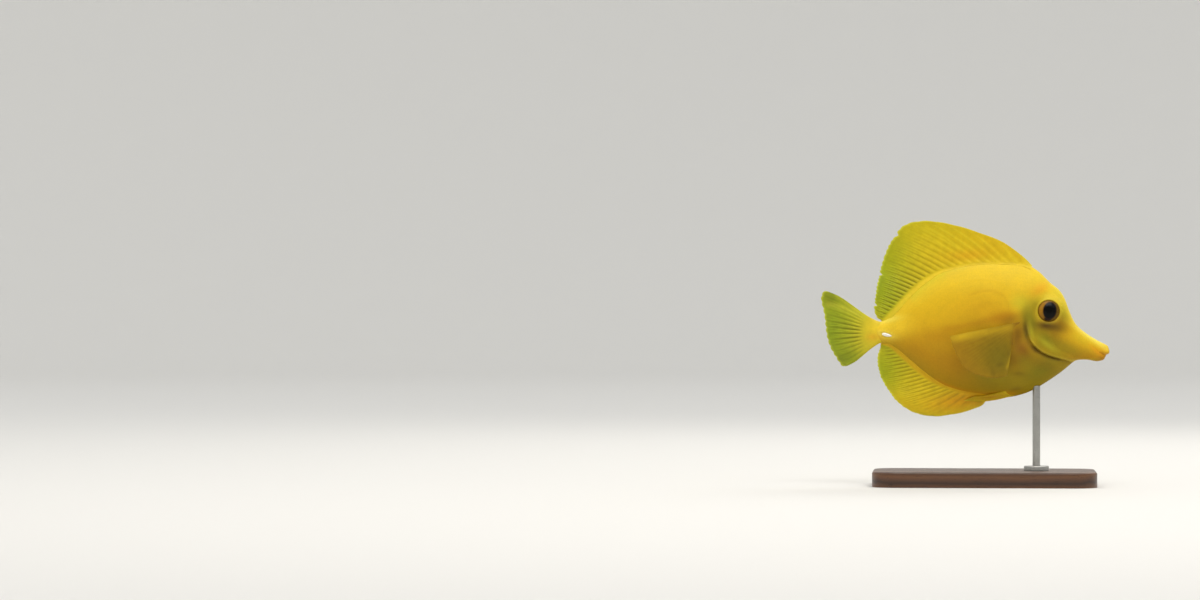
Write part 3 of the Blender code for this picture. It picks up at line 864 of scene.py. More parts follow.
def register(piece: bpy.types.Object, material: bpy.types.Material, nodes: tuple[str, ...],
             smooth_deg: float = 180.0) -> bpy.types.Object:
    """Shades a finished piece and ties it to the frame.

    Args:
        piece: the finished mesh object.
        material: its material.
        nodes: the frame's nodes that it stands for.
        smooth_deg: edges up to this angle are shaded smooth.

    Returns:
        The piece.
    """
    hold(piece)
    if smooth_deg >= 180.0:
        bpy.ops.object.shade_smooth()
    else:
        bpy.ops.object.shade_smooth_by_angle(angle=math.radians(smooth_deg))
    piece.data.materials.clear()
    piece.data.materials.append(material)
    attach(piece, "root")
    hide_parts(*nodes)
    piece.data.calc_loop_triangles()
    LOG.info("%s: %d triangles for %s", piece.name, len(piece.data.loop_triangles), ", ".join(nodes))
    return piece


# The fish's own lines


@dataclass
class FishForm:
    """The lines of the fish that every piece on it follows."""

    body_lines: Rows = (
        (64.6, -9.2, -9.2, 0.0), (64.0, -7.3, -11.2, 1.7), (62.3, -6.1, -13.9, 2.5),
        (58.5, -4.2, -15.1, 3.1), (53.0, -0.7, -14.3, 3.9), (47.6, 4.0, -14.7, 5.2),
        (44.3, 10.5, -17.0, 6.1), (41.6, 17.6, -19.3, 6.8), (38.6, 22.1, -21.6, 7.5),
        (34.0, 25.9, -24.8, 8.5), (28.0, 31.7, -28.5, 9.5), (21.0, 35.4, -31.9, 10.2),
        (11.0, 36.6, -34.0, 10.6), (-2.0, 36.6, -33.6, 10.2), (-13.0, 35.0, -31.6, 9.3),
        (-22.4, 32.2, -28.4, 8.1), (-31.3, 26.6, -22.4, 6.6), (-39.1, 19.4, -15.7, 5.1),
        (-45.4, 12.3, -10.3, 4.1), (-50.4, 7.2, -7.0, 3.4), (-54.2, 5.4, -5.4, 2.8),
        (-58.0, 4.8, -5.0, 1.9), (-61.5, 3.7, -4.0, 1.0), (-65.0, 1.8, -2.2, 0.1),
    )
    keel_sharpness: float = 0.6
    keel_ahead: tuple[float, float] = (52.0, 18.0)
    keel_astern: tuple[float, float] = (-60.0, -30.0)
    eye_centre: tuple[float, float] = (33.3, 11.0)
    eye_lean: tuple[float, float] = (0.10, 0.14)  # forwards and up
    spine_centre: tuple[float, float] = (-50.6, -1.5)
    spine_dip_deg: float = 14.0
    sway_mm: float = 7.0
    sway_span: tuple[float, float] = (-28.7, -85.3)
    dense: np.ndarray = field(init=False)

    def __post_init__(self) -> None:
        """Samples the body lines closely."""
        self.dense = smooth_line(self.body_lines, 3000)

    def line(self, x: np.ndarray, column: int) -> np.ndarray:
        """Height of the back or belly, or half width, at places along the fish."""
        return np.interp(-np.asarray(x, float), -self.dense[:, 0], self.dense[:, column])

    def keel_power(self, x: np.ndarray) -> np.ndarray:
        """The power of the section's cosine: 1 is an ellipse, more gives a sharper back and belly."""
        return 1 + self.keel_sharpness * soft_step(*self.keel_ahead, x) * soft_step(*self.keel_astern, x)

    def half_width(self, x: np.ndarray, h: np.ndarray) -> np.ndarray:
        """How far the flank stands from the middle plane at places on the side view.

        Args:
            x: places along the fish.
            h: their heights.

        Returns:
            Half the body's width at each place, in millimetres.
        """
        back, belly = self.line(x, BACK), self.line(x, BELLY)
        level = (2 * np.asarray(h) - back - belly) / (back - belly)
        return self.line(x, WIDTH) * np.clip(1 - level**2, 0, None) ** (self.keel_power(x) / 2)

    def sway(self, x: np.ndarray) -> np.ndarray:
        """Sideways offset of the body's middle, which grows towards the tail."""
        start, end = self.sway_span
        return self.sway_mm * (np.clip(start - np.asarray(x), 0, None) / (start - end)) ** 2

    def world(self, x: np.ndarray, side: np.ndarray, h: np.ndarray) -> np.ndarray:
        """Turns places on the fish into metres above the floor."""
        return np.stack([x, side + self.sway(x), h + AXIS_HEIGHT], axis=-1) * MM


# Skin


@dataclass
class FishSkin:
    """One seamless skin over head, lower jaw, trunk and tail stalk."""

    form: FishForm
    segments: int = 220
    rings: int = 264
    flank_evenness: float = 0.35
    ring_spacing: Rows = (
        (-65.0, 0.5), (-48.0, 0.42), (-40.0, 0.65), (10.0, 0.6), (20.0, 0.45), (48.0, 0.4),
        (55.0, 0.3), (64.6, 0.22),
    )
    gill_line: Rows = (
        (25.0, 42.0), (23.8, 34.0), (22.2, 22.0), (21.4, 14.5), (21.2, 9.9), (21.4, 6.0),
        (21.9, 2.0), (22.9, -2.4), (24.8, -5.9), (28.0, -9.1), (32.2, -11.5), (37.0, -13.2),
        (42.2, -14.4), (45.4, -15.8), (48.5, -18.7),
    )
    cheek_crease: Rows = ((33.6, 1.0), (34.9, -3.1), (37.2, -7.6), (41.0, -10.2), (46.0, -12.2))
    mouth_line: Rows = ((55.0, -7.0), (57.6, -9.0), (60.2, -10.9), (62.6, -11.9), (66.5, -12.5))
    lateral_line: Rows = (
        (17.0, 21.0), (8.0, 26.0), (-3.0, 27.6), (-15.0, 25.6), (-26.0, 20.0), (-35.0, 12.6),
        (-43.0, 5.2), (-49.0, 1.6), (-54.0, 0.4),
    )
    nostrils: Rows = ((40.6, 11.6), (39.9, 14.4))
    orbit_reach: float = 5.6
    orbit_rim: float = 0.3
    orbit_slope: float = 3.6  # run over which the skin rises to the rim
    socket_side: float = 5.4
    spine_groove: tuple[float, float] = (3.3, 1.2)  # reach along and across
    fine_passes: tuple[tuple[float, tuple[float, float], float], ...] = (
        (1.7, (0.0, 8.2), 2.4), (0.75, (5.2, 6.7), 0.0),
    )  # reach from the gill line, span round the eye, reach from the mouth line
    lips_x: float = 56.0
    swells: tuple[Spot, ...] = (  # strengths are millimetres of lift
        Spot(34.0, 1.6, 4.5, 2.4, -15, -0.35),  # hollow under the eye
        Spot(38.5, -3.5, 5.0, 3.0, -35, 0.3),  # cheek
        Spot(14.6, -0.8, 2.4, 6.0, -9, 0.55),  # base of the pectoral fin
        Spot(19.6, -8.0, 2.0, 5.0, -35, -0.35),  # hollow behind the gill cover
        Spot(16.0, -30.0, 6.0, 1.8, 8, 0.3),  # base of the pelvic fin
        Spot(29.4, 22.6, 4.0, 2.4, 40, 0.25),  # nape
    )
    rows: np.ndarray = field(init=False)
    row_shares: np.ndarray = field(init=False)

    def __post_init__(self) -> None:
        """Spaces the rings: close on the head, wider on the trunk."""
        dense = self.form.dense
        steps = np.linalg.norm(np.diff(dense, axis=0), axis=1)
        spacing = table(self.ring_spacing, (dense[1:, 0] + dense[:-1, 0]) / 2)
        counted = np.concatenate([[0], np.cumsum(steps / spacing)])
        self.rows, self.row_shares = dense, counted / counted[-1]

    def lay(self, rays: np.ndarray) -> tuple[np.ndarray, np.ndarray, np.ndarray, np.ndarray]:
        """Lays directions from a sphere's middle on the plain body.

        Args:
            rays: directions, with the sphere's pole at the snout.

        Returns:
            x, side and h of each, and how far up the section it is, from 0 at the belly to 1.
        """
        unit = rays / np.linalg.norm(rays, axis=1)[:, None]
        share = np.arccos(np.clip(unit[:, 2], -1, 1)) / math.pi
        around = np.arctan2(unit[:, 1], unit[:, 0])
        around = around - self.flank_evenness * np.sin(2 * around) / 2
        x, back, belly, width = (np.interp(share, self.row_shares, self.rows[:, k]) for k in range(4))
        h = (back + belly) / 2 + (back - belly) / 2 * np.sin(around)
        flank = np.cos(around)
        side = np.copysign(np.clip(width, 0, None) * np.abs(flank) ** self.form.keel_power(x), flank)
        return x, side, h, (1 + np.sin(around)) / 2

    def face_places(self, piece: bpy.types.Object) -> tuple[np.ndarray, np.ndarray]:
        """Where each face of the still round skin will lie, as x and h.

        Args:
            piece: the sphere, before it is laid on the body.

        Returns:
            x and h of each face's middle.
        """
        flat = np.empty(len(piece.data.polygons) * 3)
        piece.data.polygons.foreach_get("center", flat)
        x, _, h, _ = self.lay(flat.reshape(-1, 3))
        return x, h

    def refine(self, piece: bpy.types.Object) -> None:
        """Subdivides the round skin where the eye, gill cover and mouth need finer relief.

        Args:
            piece: the sphere, before it is laid on the body.
        """
        for gill_reach, eye_span, mouth_reach in self.fine_passes:
            x, h = self.face_places(piece)
            from_gill = to_route(self.gill_line[3:-1], x, h)[0]
            from_eye = np.hypot(x - self.form.eye_centre[0], h - self.form.eye_centre[1])
            from_mouth = to_route(self.mouth_line, x, h)[0]
            subdivide_where(piece, (
                (from_gill < gill_reach)
                | ((from_eye > eye_span[0]) & (from_eye < eye_span[1]))
                | ((from_mouth < mouth_reach) & (x > self.lips_x))
            ))

    def gill_relief(self, x: np.ndarray, h: np.ndarray) -> np.ndarray:
        """Lift of the gill cover and the groove behind it.

        Args:
            x: places along the fish.
            h: their heights.

        Returns:
            The lift at each place, in millimetres.
        """
        ahead = to_route(self.gill_line, x, h)[1]  # the head is on the line's left
        shown = soft_step(2.0, -10.0, h) * soft_step(46, 41, x)
        crisp = 0.3 + 1.7 * soft_step(-6.0, 6.0, h)
        lift = 0.6 * soft_step(8, 0, ahead) * soft_step(-crisp, crisp, ahead)
        lip = 0.14 * shown * bell(ahead - 0.7, 0.6)
        dip = -0.4 * soft_step(6, 0, -ahead) * soft_step(crisp, -crisp, ahead)
        groove = -0.4 * shown * bell(ahead + 0.4, 0.42)
        fading = 0.25 + 0.75 * soft_step(12, 0, h)
        return (lift + dip) * fading + lip + groove

    def mouth_relief(self, x: np.ndarray, h: np.ndarray) -> np.ndarray:
        """The slit of the mouth and the lips above and below it.

        Args:
            x: places along the fish.
            h: their heights.

        Returns:
            The lift at each place, in millimetres.
        """
        distance, signed, share = to_route(self.mouth_line, x, h)
        wide = 0.42 + 0.3 * soft_step(0.45, 0.75, share)
        depth = 0.1 + 0.45 * soft_step(0.42, 0.68, share)
        slit = -depth * soft_step(0.0, 0.12, share) * bell(distance, wide)
        front = soft_step(58.5, 62.5, x)
        upper = 0.5 * front * bell(signed - 1.7, 1.1)
        lower = (0.3 * front - 0.9 * soft_step(61.0, 63.5, x)) * bell(signed + 1.6, 1.0)
        return slit + upper + lower

    def small_relief(self, x: np.ndarray, h: np.ndarray) -> np.ndarray:
        """Cheek, fin bases, lateral line, nostrils and the slow unevenness of flesh.

        Args:
            x: places along the fish.
            h: their heights.

        Returns:
            The lift at each place, in millimetres.
        """
        relief = sum(swell.cover(x, h) for swell in self.swells)
        relief -= 0.22 * bell(to_route(self.cheek_crease, x, h)[0], 0.7)
        relief += 0.10 * bell(to_route(self.lateral_line, x, h)[0], 0.45)
        for nostril_x, nostril_h in self.nostrils:
            away = np.hypot(x - nostril_x, h - nostril_h)
            relief += 0.14 * bell(away - 0.8, 0.3) - 0.55 * bell(away, 0.5)
        relief += 0.05 * np.sin(x * 0.42 + 0.5) * np.sin(h * 0.37 + 1.0) * soft_step(55, 45, x)
        return relief + self.spine_relief(x, h)

    def spine_relief(self, x: np.ndarray, h: np.ndarray) -> np.ndarray:
        """Shapes the groove that each tail spine folds into, with a slight rim.

        Args:
            x: places along the fish.
            h: their heights.

        Returns:
            The lift at each place, in millimetres.
        """
        turn = math.radians(self.form.spine_dip_deg)
        ahead, up = x - self.form.spine_centre[0], h - self.form.spine_centre[1]
        u = ahead * math.cos(turn) - up * math.sin(turn)
        v = ahead * math.sin(turn) + up * math.cos(turn)
        away = np.hypot(u / self.spine_groove[0], v / self.spine_groove[1])
        return -0.45 * soft_step(1.1, 0.65, away) + 0.08 * bell(away - 1.35, 0.3)

    def open_orbits(self, places: np.ndarray) -> np.ndarray:
        """Lifts a rim round each eye and sinks the skin inside it.

        Args:
            places: x, side and h of the vertices.

        Returns:
            The same with the orbits shaped.
        """
        x, side, h = places.T
        eye_x, eye_h = self.form.eye_centre
        away = np.hypot(x - eye_x, h - eye_h)
        plane = float(self.form.half_width(eye_x, eye_h)) - 0.05
        plane = plane - self.form.eye_lean[0] * (x - eye_x) - self.form.eye_lean[1] * (h - eye_h)
        reach = self.orbit_reach
        near = soft_step(reach + self.orbit_slope, reach + 0.4, away)
        rim = self.orbit_rim * bell(away - reach - 0.45, 0.5)
        level = np.abs(side) * (1 - near) + plane * near + rim
        wall = soft_step(reach - 0.3, reach + 0.1, away)
        shaped = level * wall + np.minimum(self.socket_side, level) * (1 - wall)
        out = places.copy()
        out[:, 1] = np.where(away < reach + self.orbit_slope, np.copysign(shaped, side), side)
        return out

    def build(self, finish: SkinFinish) -> bpy.types.Object:
        """Models the skin from a sphere, and dresses it.

        Args:
            finish: the airbrushed finish, whose coats are laid on as masks.

        Returns:
            The finished piece.
        """
        start_clean()
        bpy.ops.mesh.primitive_uv_sphere_add(segments=self.segments, ring_count=self.rings, radius=1.0)
        skin = take("fish_skin")
        self.refine(skin)
        mesh = skin.data
        x, side, h, level = self.lay(read_places(mesh))
        write_places(mesh, np.stack([x, side, h], axis=1))
        face_outwards(skin)
        outwards = read_normals(mesh)
        relief = self.gill_relief(x, h) * soft_step(0, 3, np.abs(side))
        relief += self.small_relief(x, h) * soft_step(0, 1.2, np.abs(side))
        relief += self.mouth_relief(x, h)
        places = np.stack([x, side, h], axis=1) + outwards * relief[:, None]
        write_places(mesh, self.form.world(*self.open_orbits(places).T))
        # level drives the skin's ramp of painted shade, darker towards the belly
        write_mask(mesh, "level", level)
        for coat in finish.coats:
            write_mask(mesh, coat.name, coat.cover(x, h))
        face_outwards(skin)
        return register(skin, finish.material(), ("head", "lower_jaw", "trunk", "tail_stalk"))


# Fins


@dataclass
class RayFin:
    """A fin of branching rays in a thin web, fleshy at its root, closed on both faces."""

    form: FishForm
    name: str
    node: str
    rays: int
    columns: int  # of the mesh, for each ray
    rows: int
    crest_mm: float
    coats: tuple[Coat, ...]
    finish_name: str
    web_mm: float = 0.36
    margin_light: float = 0.6
    margin_mm: float = 0.75
    ray_light: float = 0.55
    flesh_mm: float = 2.0
    flesh_reach_mm: float = 7.0
    web_colour: str = "#d2b414"
    flesh_colour: str = "#deb21a"
    flesh_paint: tuple[float, float] = (1.0, 1.0)  # cover of the flesh's colour, first ray and last
    bare_mm: tuple[float, float] = (3.0, 3.0)  # bare flesh before the first ray and before the last
    rise_mm: float = 3.0  # run over which the rays rise out of the flesh
    forks: int = 2
    spines: int = 0  # unbranched rays at the front
    branch_at: tuple[float, float] = (0.3, 0.62)
    # gap_fade, gap_strength and gap_reach shape the dark line of painted shade between two rays
    gap_fade: Rows = ((0.0, 1.0), (0.25, 1.0), (0.5, 0.72), (0.75, 0.2), (1.0, 0.0))
    gap_strength: Rows = ((0.0, 1.0), (1.0, 1.0))
    gap_reach: float = 0.165  # of the dark line between two rays, in rays
    scallop_mm: float = 0.5
    uneven_mm: float = 0.25
    nips: Rows = ()  # across, depth and half width in rays
    seed: int = 7

    def place(self, across: np.ndarray, along: np.ndarray) -> np.ndarray:
        """Puts shares across and along the fin at x, side and h. Each kind of fin has its own."""
        raise NotImplementedError

    def branches(self, across: np.ndarray, along: np.ndarray) -> tuple[np.ndarray, np.ndarray]:
        """Draws the rays, which fork once or twice on the way to the margin.

        Args:
            across: shares across the fin.
            along: shares along it, from the root to the margin.

        Returns:
            Height of the rays from 0 to 1, and how far a place is between two rays.
        """
        count = across * (self.rays - 1)
        ray = np.round(count)
        off = count - ray
        varied = scattered(self.rays, self.seed)[np.clip(ray.astype(int), 0, self.rays - 1)] * 0.06
        forked = np.where(ray < self.spines, 0.0, 1.0)
        first = forked * 0.25 * soft_step(self.branch_at[0], self.branch_at[0] + 0.42, along + varied)
        again = 0.115 if self.forks > 1 else 0.0
        second = forked * again * soft_step(self.branch_at[1], self.branch_at[1] + 0.34, along + varied)
        reach = 0.21 - 0.11 * forked * soft_step(self.branch_at[0], 0.95, along)
        reach = np.where(ray < self.spines, 0.21 - 0.09 * along, reach)
        height = np.zeros_like(off)
        for a in (-1, 1):
            for b in (-1, 1):
                height = np.maximum(height, bell(off - a * first - b * second, reach))
        return height, bell(0.5 - np.abs(off), self.gap_reach)

    def shortfall(self, across: np.ndarray) -> np.ndarray:
        """How far the web ends short of the margin line, in millimetres.

        Args:
            across: shares of the way from the first ray to the last.

        Returns:
            The gap at each of them.
        """
        count = across * (self.rays - 1)
        off = np.abs(count - np.round(count)) * 2
        uneven = np.interp(count, np.arange(self.rays), scattered(self.rays, self.seed + 1))
        short = self.scallop_mm * off**1.5 + self.uneven_mm * (0.5 + 0.5 * uneven)
        for middle, depth, reach in self.nips:
            short = short + depth * bell(count - middle * (self.rays - 1), reach)
        return short

    def build(self) -> bpy.types.Object:
        """Models the fin from a grid and gives it its thickness with Solidify.

        Returns:
            The finished piece.
        """
        start_clean()
        columns = self.columns * (self.rays - 1)
        bpy.ops.mesh.primitive_grid_add(x_subdivisions=columns, y_subdivisions=self.rows, size=1.0)
        fin = take(self.name)
        mesh = fin.data
        flat = read_places(mesh)
        across, along = flat[:, 0] + 0.5, flat[:, 1] + 0.5
        root = self.place(across, np.zeros_like(along))
        length = np.linalg.norm(self.place(across, np.ones_like(along)) - root, axis=1)
        short = self.shortfall(across) / np.maximum(length, 4.0)
        reached = along - np.minimum(short, 0.3) * soft_step(0.55, 1.0, along)
        places = self.place(across, reached)
        height, between = self.branches(across, reached)
        write_places(mesh, self.form.world(*places.T))
        run = along * length
        bare = self.bare_mm[0] + (self.bare_mm[1] - self.bare_mm[0]) * across
        grown = soft_step(bare, bare + self.rise_mm, run)
        strength = table(self.gap_strength, across)
        ray = (self.crest_mm - self.web_mm) * height * (1 - 0.55 * along) * grown * (0.35 + 0.65 * strength)
        thin = np.minimum(1.0, 0.35 + (1 - along) * np.maximum(length, 4.0) / 1.2)
        thick = (self.web_mm + ray) * thin + self.flesh(places, across, along, run)
        thickest = float(thick.max())
        group = fin.vertex_groups.new(name="thickness")
        for index, weight in enumerate(thick / thickest):
            group.add([index], float(weight), "REPLACE")
        # ray_gap is painted shade between the rays; ray_light is partly painted highlight on their crests
        fade = grown * table(self.gap_fade, along) * strength
        write_mask(mesh, "ray_gap", between * fade)
        write_mask(mesh, "ray_light", self.ray_light * height * grown * soft_step(1.0, 0.7, along))
        write_mask(mesh, "ray_run", run)
        write_mask(mesh, "margin", self.margin_light * bell((1 - along) * length, self.margin_mm))
        painted = self.flesh_paint[0] + (self.flesh_paint[1] - self.flesh_paint[0]) * across
        write_mask(mesh, "flesh", painted * soft_step(bare + 0.7 * self.rise_mm, bare - 0.8, run))
        for coat in self.coats:
            write_mask(mesh, coat.name, coat.cover(places[:, 0], places[:, 2]))
        hold(fin)
        solid = fin.modifiers.new("thickness", "SOLIDIFY")
        solid.thickness = thickest * MM
        solid.offset = 0.0
        solid.vertex_group = group.name
        bpy.ops.object.modifier_apply(modifier=solid.name)
        fin.vertex_groups.clear()
        face_outwards(fin)
        finish = FinFinish(
            coats=self.coats, name=self.finish_name, web=self.web_colour, flesh=self.flesh_colour
        )
        return register(fin, finish.material(), (self.node,), 60.0)

    def flesh(self, places: np.ndarray, across: np.ndarray, along: np.ndarray,
              run: np.ndarray) -> np.ndarray:
        """Finds how much the flesh at the root adds to the web's thickness.

        Args:
            places: x, side and h; not used here.
            across: shares across the fin; not used here.
            along: shares along it.
            run: millimetres from the root.

        Returns:
            The added thickness in millimetres.
        """
        fading = soft_step(self.flesh_reach_mm, 0.0, run) * soft_step(1.0, 0.5, along)
        return (self.flesh_mm - self.web_mm) * fading


@dataclass
class MedianFin(RayFin):
    """The dorsal or the anal fin, which stands on the back or under the belly."""

    edge: Edge = Edge.BACK
    root_span: tuple[float, float] = (0.0, 0.0)
    margin_line: Rows = ()
    root_shares: Rows = ((0.0, 0.0), (1.0, 1.0))  # share across, share of the root line
    tip_shares: Rows = ()  # share of the root line, share of the margin that its ray reaches
    bow: Rows = ((0.0, 0.0), (1.0, 0.0))
    root_sink: float = 3.2
    ripple_mm: float = 0.5
    seat_mm: float = 1.5  # how far under the body's edge the flesh comes out of the flank
    hollow_mm: float = 2.6  # run over which the flesh thins to about a third

    def flesh(self, places: np.ndarray, across: np.ndarray, along: np.ndarray,
              run: np.ndarray) -> np.ndarray:
        """Runs the flesh in a hollow curve from the flank, where it is as thick as the body, to the web.

        Args:
            places: x, side and h.
            across: shares across the fin.
            along: shares along it.
            run: millimetres from the root; not used here.

        Returns:
            The added thickness in millimetres.
        """
        x, _, h = places.T
        column, outward = self.edge.value, self.edge.outward
        edge = self.form.line(x, column)
        slope = self.form.line(x + 0.5, column) - self.form.line(x - 0.5, column)
        upright = 1 / np.sqrt(1 + slope**2)
        off = (h - edge) * outward * upright
        seat = self.form.half_width(x, edge - outward * self.seat_mm / upright)
        hollow = seat * np.exp(-(off + self.seat_mm) / self.hollow_mm)
        depth = np.clip(-off - self.seat_mm, 0, None)
        buried = np.clip(seat - 0.5 * depth, 0.2, None) - self.web_mm / 2
        last = 0.12 + 0.88 * soft_step(1.0, 0.86, across)
        return 2 * np.where(depth > 0, buried, hollow) * last * soft_step(1.0, 0.5, along)

    def place(self, across: np.ndarray, along: np.ndarray) -> np.ndarray:
        """Runs each ray from the body line to the margin, with a slight backward bow.

        Args:
            across: shares of the way from the first ray to the last.
            along: shares of the way from the root to the margin.

        Returns:
            x, side and h of each place, in millimetres.
        """
        xs = np.linspace(*self.root_span, 600)
        root_h = self.form.line(xs, self.edge.value) - self.edge.outward * self.root_sink
        root_line = np.stack([xs, root_h], axis=1)
        share = np.clip(table(smooth_line(self.root_shares, 120), across), 0, 1)
        low = along_line(root_line, share)
        tip_share = np.clip(table(smooth_line(self.tip_shares, 120), share), 0, 1)
        tip = along_line(smooth_line(self.margin_line), tip_share)
        step = tip - low
        arch = (table(self.bow, across) * 4 * along * (1 - along))[:, None]
        upward = np.stack([step[:, 1], -step[:, 0]], axis=1) * self.edge.outward
        spot = low + step * along[:, None] + upward * arch
        ripple = self.ripple_mm * np.sin(across * 15.0 + 0.8) * along**2 * soft_step(0, 0.2, across)
        return np.stack([spot[:, 0], ripple, spot[:, 1]], axis=1)


@dataclass
class TailFin(RayFin):
    """The tail fin, a fan whose lower lobe trails away to the fish's left."""

    margin_line: Rows = (
        (-81.4, 20.9), (-83.4, 21.5), (-85.0, 19.4), (-85.1, 16.4), (-83.9, 10.4), (-83.0, 3.1),
        (-82.1, -3.2), (-80.1, -8.9), (-77.4, -13.6), (-75.1, -17.2), (-73.6, -18.2), (-71.6, -17.8),
    )
    root_x: float = -52.5
    root_heights: tuple[float, float] = (5.2, -5.4)
    bow: Rows = ((0.0, 0.0), (0.14, -0.95), (0.36, -0.8), (0.56, 0.0), (0.76, 0.65), (1.0, 0.0))
    bow_mm: tuple[float, float] = (1.25, -0.85)
    flesh_rows: Rows = (  # run from the root, half the thickness
        (0.0, 1.95), (1.5, 2.2), (3.5, 2.3), (5.5, 2.08), (9.0, 1.38), (12.5, 0.72), (15.5, 0.33),
        (19.5, 0.03), (40.0, 0.0),
    )
    twist: tuple[float, float] = (0.10, 0.26)  # of the upper and the lower lobe

    def place(self, across: np.ndarray, along: np.ndarray) -> np.ndarray:
        """Fans the rays from the stalk to the rear margin.

        Args:
            across: shares of the way from the first ray to the last.
            along: shares of the way from the root to the margin.

        Returns:
            x, side and h of each place, in millimetres.
        """
        tip = along_line(smooth_line(self.margin_line), across)
        high, low = self.root_heights
        root_h = high + (low - high) * across
        bow = self.bow_mm[0] + (self.bow_mm[1] - self.bow_mm[0]) * across
        x = self.root_x + (tip[:, 0] - self.root_x) * along
        h = root_h + (tip[:, 1] - root_h) * along + bow * table(smooth_line(self.bow, 120), along)
        twist = along**2 * np.where(h < 0, -h * self.twist[1], -h * self.twist[0])
        return np.stack([x, twist, h], axis=1)

    def flesh(self, places: np.ndarray, across: np.ndarray, along: np.ndarray,
              run: np.ndarray) -> np.ndarray:
        """Carries the stalk's round section on into the fan, thinner towards its upper and lower edge.

        Args:
            places: x, side and h; not used here.
            across: shares across the fin.
            along: shares along it; not used here.
            run: millimetres from the root.

        Returns:
            The added thickness in millimetres.
        """
        section = 0.1 + 0.9 * np.sqrt(np.clip(1 - (2 * across - 1) ** 2, 0, 1))
        return 2 * table(smooth_line(self.flesh_rows, 200), run) * section


@dataclass
class PectoralFin(RayFin):
    """A spread pectoral fin that stands off the flank."""

    side: Side = Side.RIGHT
    root_line: Rows = ((15.8, 4.9), (14.2, -5.8))
    angles_deg: tuple[float, float] = (191.5, 262.0)
    lengths: Rows = ((0.0, 34.5), (0.333, 32.5), (0.667, 24.5), (1.0, 17.0))
    fan_power: float = 0.85
    inset: float = 0.1
    standoff_deg: float = 24.0
    cupping: float = 0.006

    def place(self, across: np.ndarray, along: np.ndarray) -> np.ndarray:
        """Fans the rays back and down from the root, cupped towards the flank.

        Args:
            across: shares of the way from the first ray to the last.
            along: shares of the way from the root to the margin.

        Returns:
            x, side and h of each place, in millimetres.
        """
        (top_x, top_h), (low_x, low_h) = self.root_line
        x = top_x + (low_x - top_x) * across
        h = top_h + (low_h - top_h) * across
        first, last = self.angles_deg
        angle = np.radians(first + (last - first) * across**self.fan_power)
        run = table(self.lengths, across) * (along * (1 + self.inset) - self.inset)
        out = self.form.half_width(x, h) + run * math.tan(math.radians(self.standoff_deg))
        out = out - self.cupping * np.clip(run, 0, None) ** 2
        out = out + 0.3 * np.sin(across * 11) * along**2
        return np.stack([x + run * np.cos(angle), self.side.value * out, h + run * np.sin(angle)], axis=1)


@dataclass
class PelvicFin(RayFin):
    """A pelvic fin folded back along the belly."""

    side: Side = Side.RIGHT
    spine_line: Rows = ((19.8, -31.2), (13.0, -33.6), (6.0, -35.3), (-2.0, -36.2), (-10.8, -35.7))
    last_line: Rows = ((16.6, -29.0), (12.0, -30.3), (6.0, -31.8), (0.0, -32.9), (-5.0, -33.4))
    keel_clearance: float = 1.3
    standoff_mm: float = 0.8
    root_sink: float = 1.6

    def place(self, across: np.ndarray, along: np.ndarray) -> np.ndarray:
        """Lays the rays between the spine's line and the last ray's line.

        Args:
            across: shares of the way from the first ray to the last.
            along: shares of the way from the root to the margin.

        Returns:
            x, side and h of each place, in millimetres.
        """
        spine, last = smooth_line(self.spine_line), smooth_line(self.last_line)
        at = np.linspace(0, 1, 600)
        x, h = (
            np.interp(along, at, spine[:, k]) * (1 - across) + np.interp(along, at, last[:, k]) * across
            for k in (0, 1)
        )
        lift = (self.standoff_mm + self.root_sink) * soft_step(0.0, 0.6, along) - self.root_sink
        out = np.hypot(self.form.half_width(x, h), self.keel_clearance) + lift
        return np.stack([x, self.side.value * out, h], axis=1)


# Eyes and tail spines


@dataclass
class Eyes:
    """The two glass eyes, flattened as in a thin head, leaning a little forwards and up."""

    form: FishForm
    side_mm: float = 5.6  # from the middle plane to the ball's middle
    reach: float = 6.5
    depth: float = 3.8
    cornea_mm: float = 0.25

    def build(self, finish: EyeFinish) -> list[bpy.types.Object]:
        """Models both eyeballs from spheres whose poles look outwards.

        Args:
            finish: the painted glass.

        Returns:
            The two pieces.
        """
        material = finish.material()
        made = []
        for side in Side:
            start_clean()
            bpy.ops.mesh.primitive_uv_sphere_add(segments=96, ring_count=64, radius=1.0)
            ball = take(f"eyeball_{side.name.lower()}")
            rays = read_places(ball.data)
            bulge = self.cornea_mm * soft_step(0.72, 0.98, rays[:, 2])
            shaped = rays * np.array([self.reach, self.reach, self.depth])
            shaped[:, 2] += bulge
            (x, h), (forwards, up) = self.form.eye_centre, self.form.eye_lean
            axis = Vector((forwards, side.value, up)).normalized()
            turn = np.array(Vector((0, 0, 1)).rotation_difference(axis).to_matrix())
            places = shaped @ turn.T + np.array([x, side.value * self.side_mm, h])
            write_places(ball.data, self.form.world(*places.T))
            face_outwards(ball)
            made.append(register(ball, material, (f"eye_{side.name.lower()}",)))
        return made


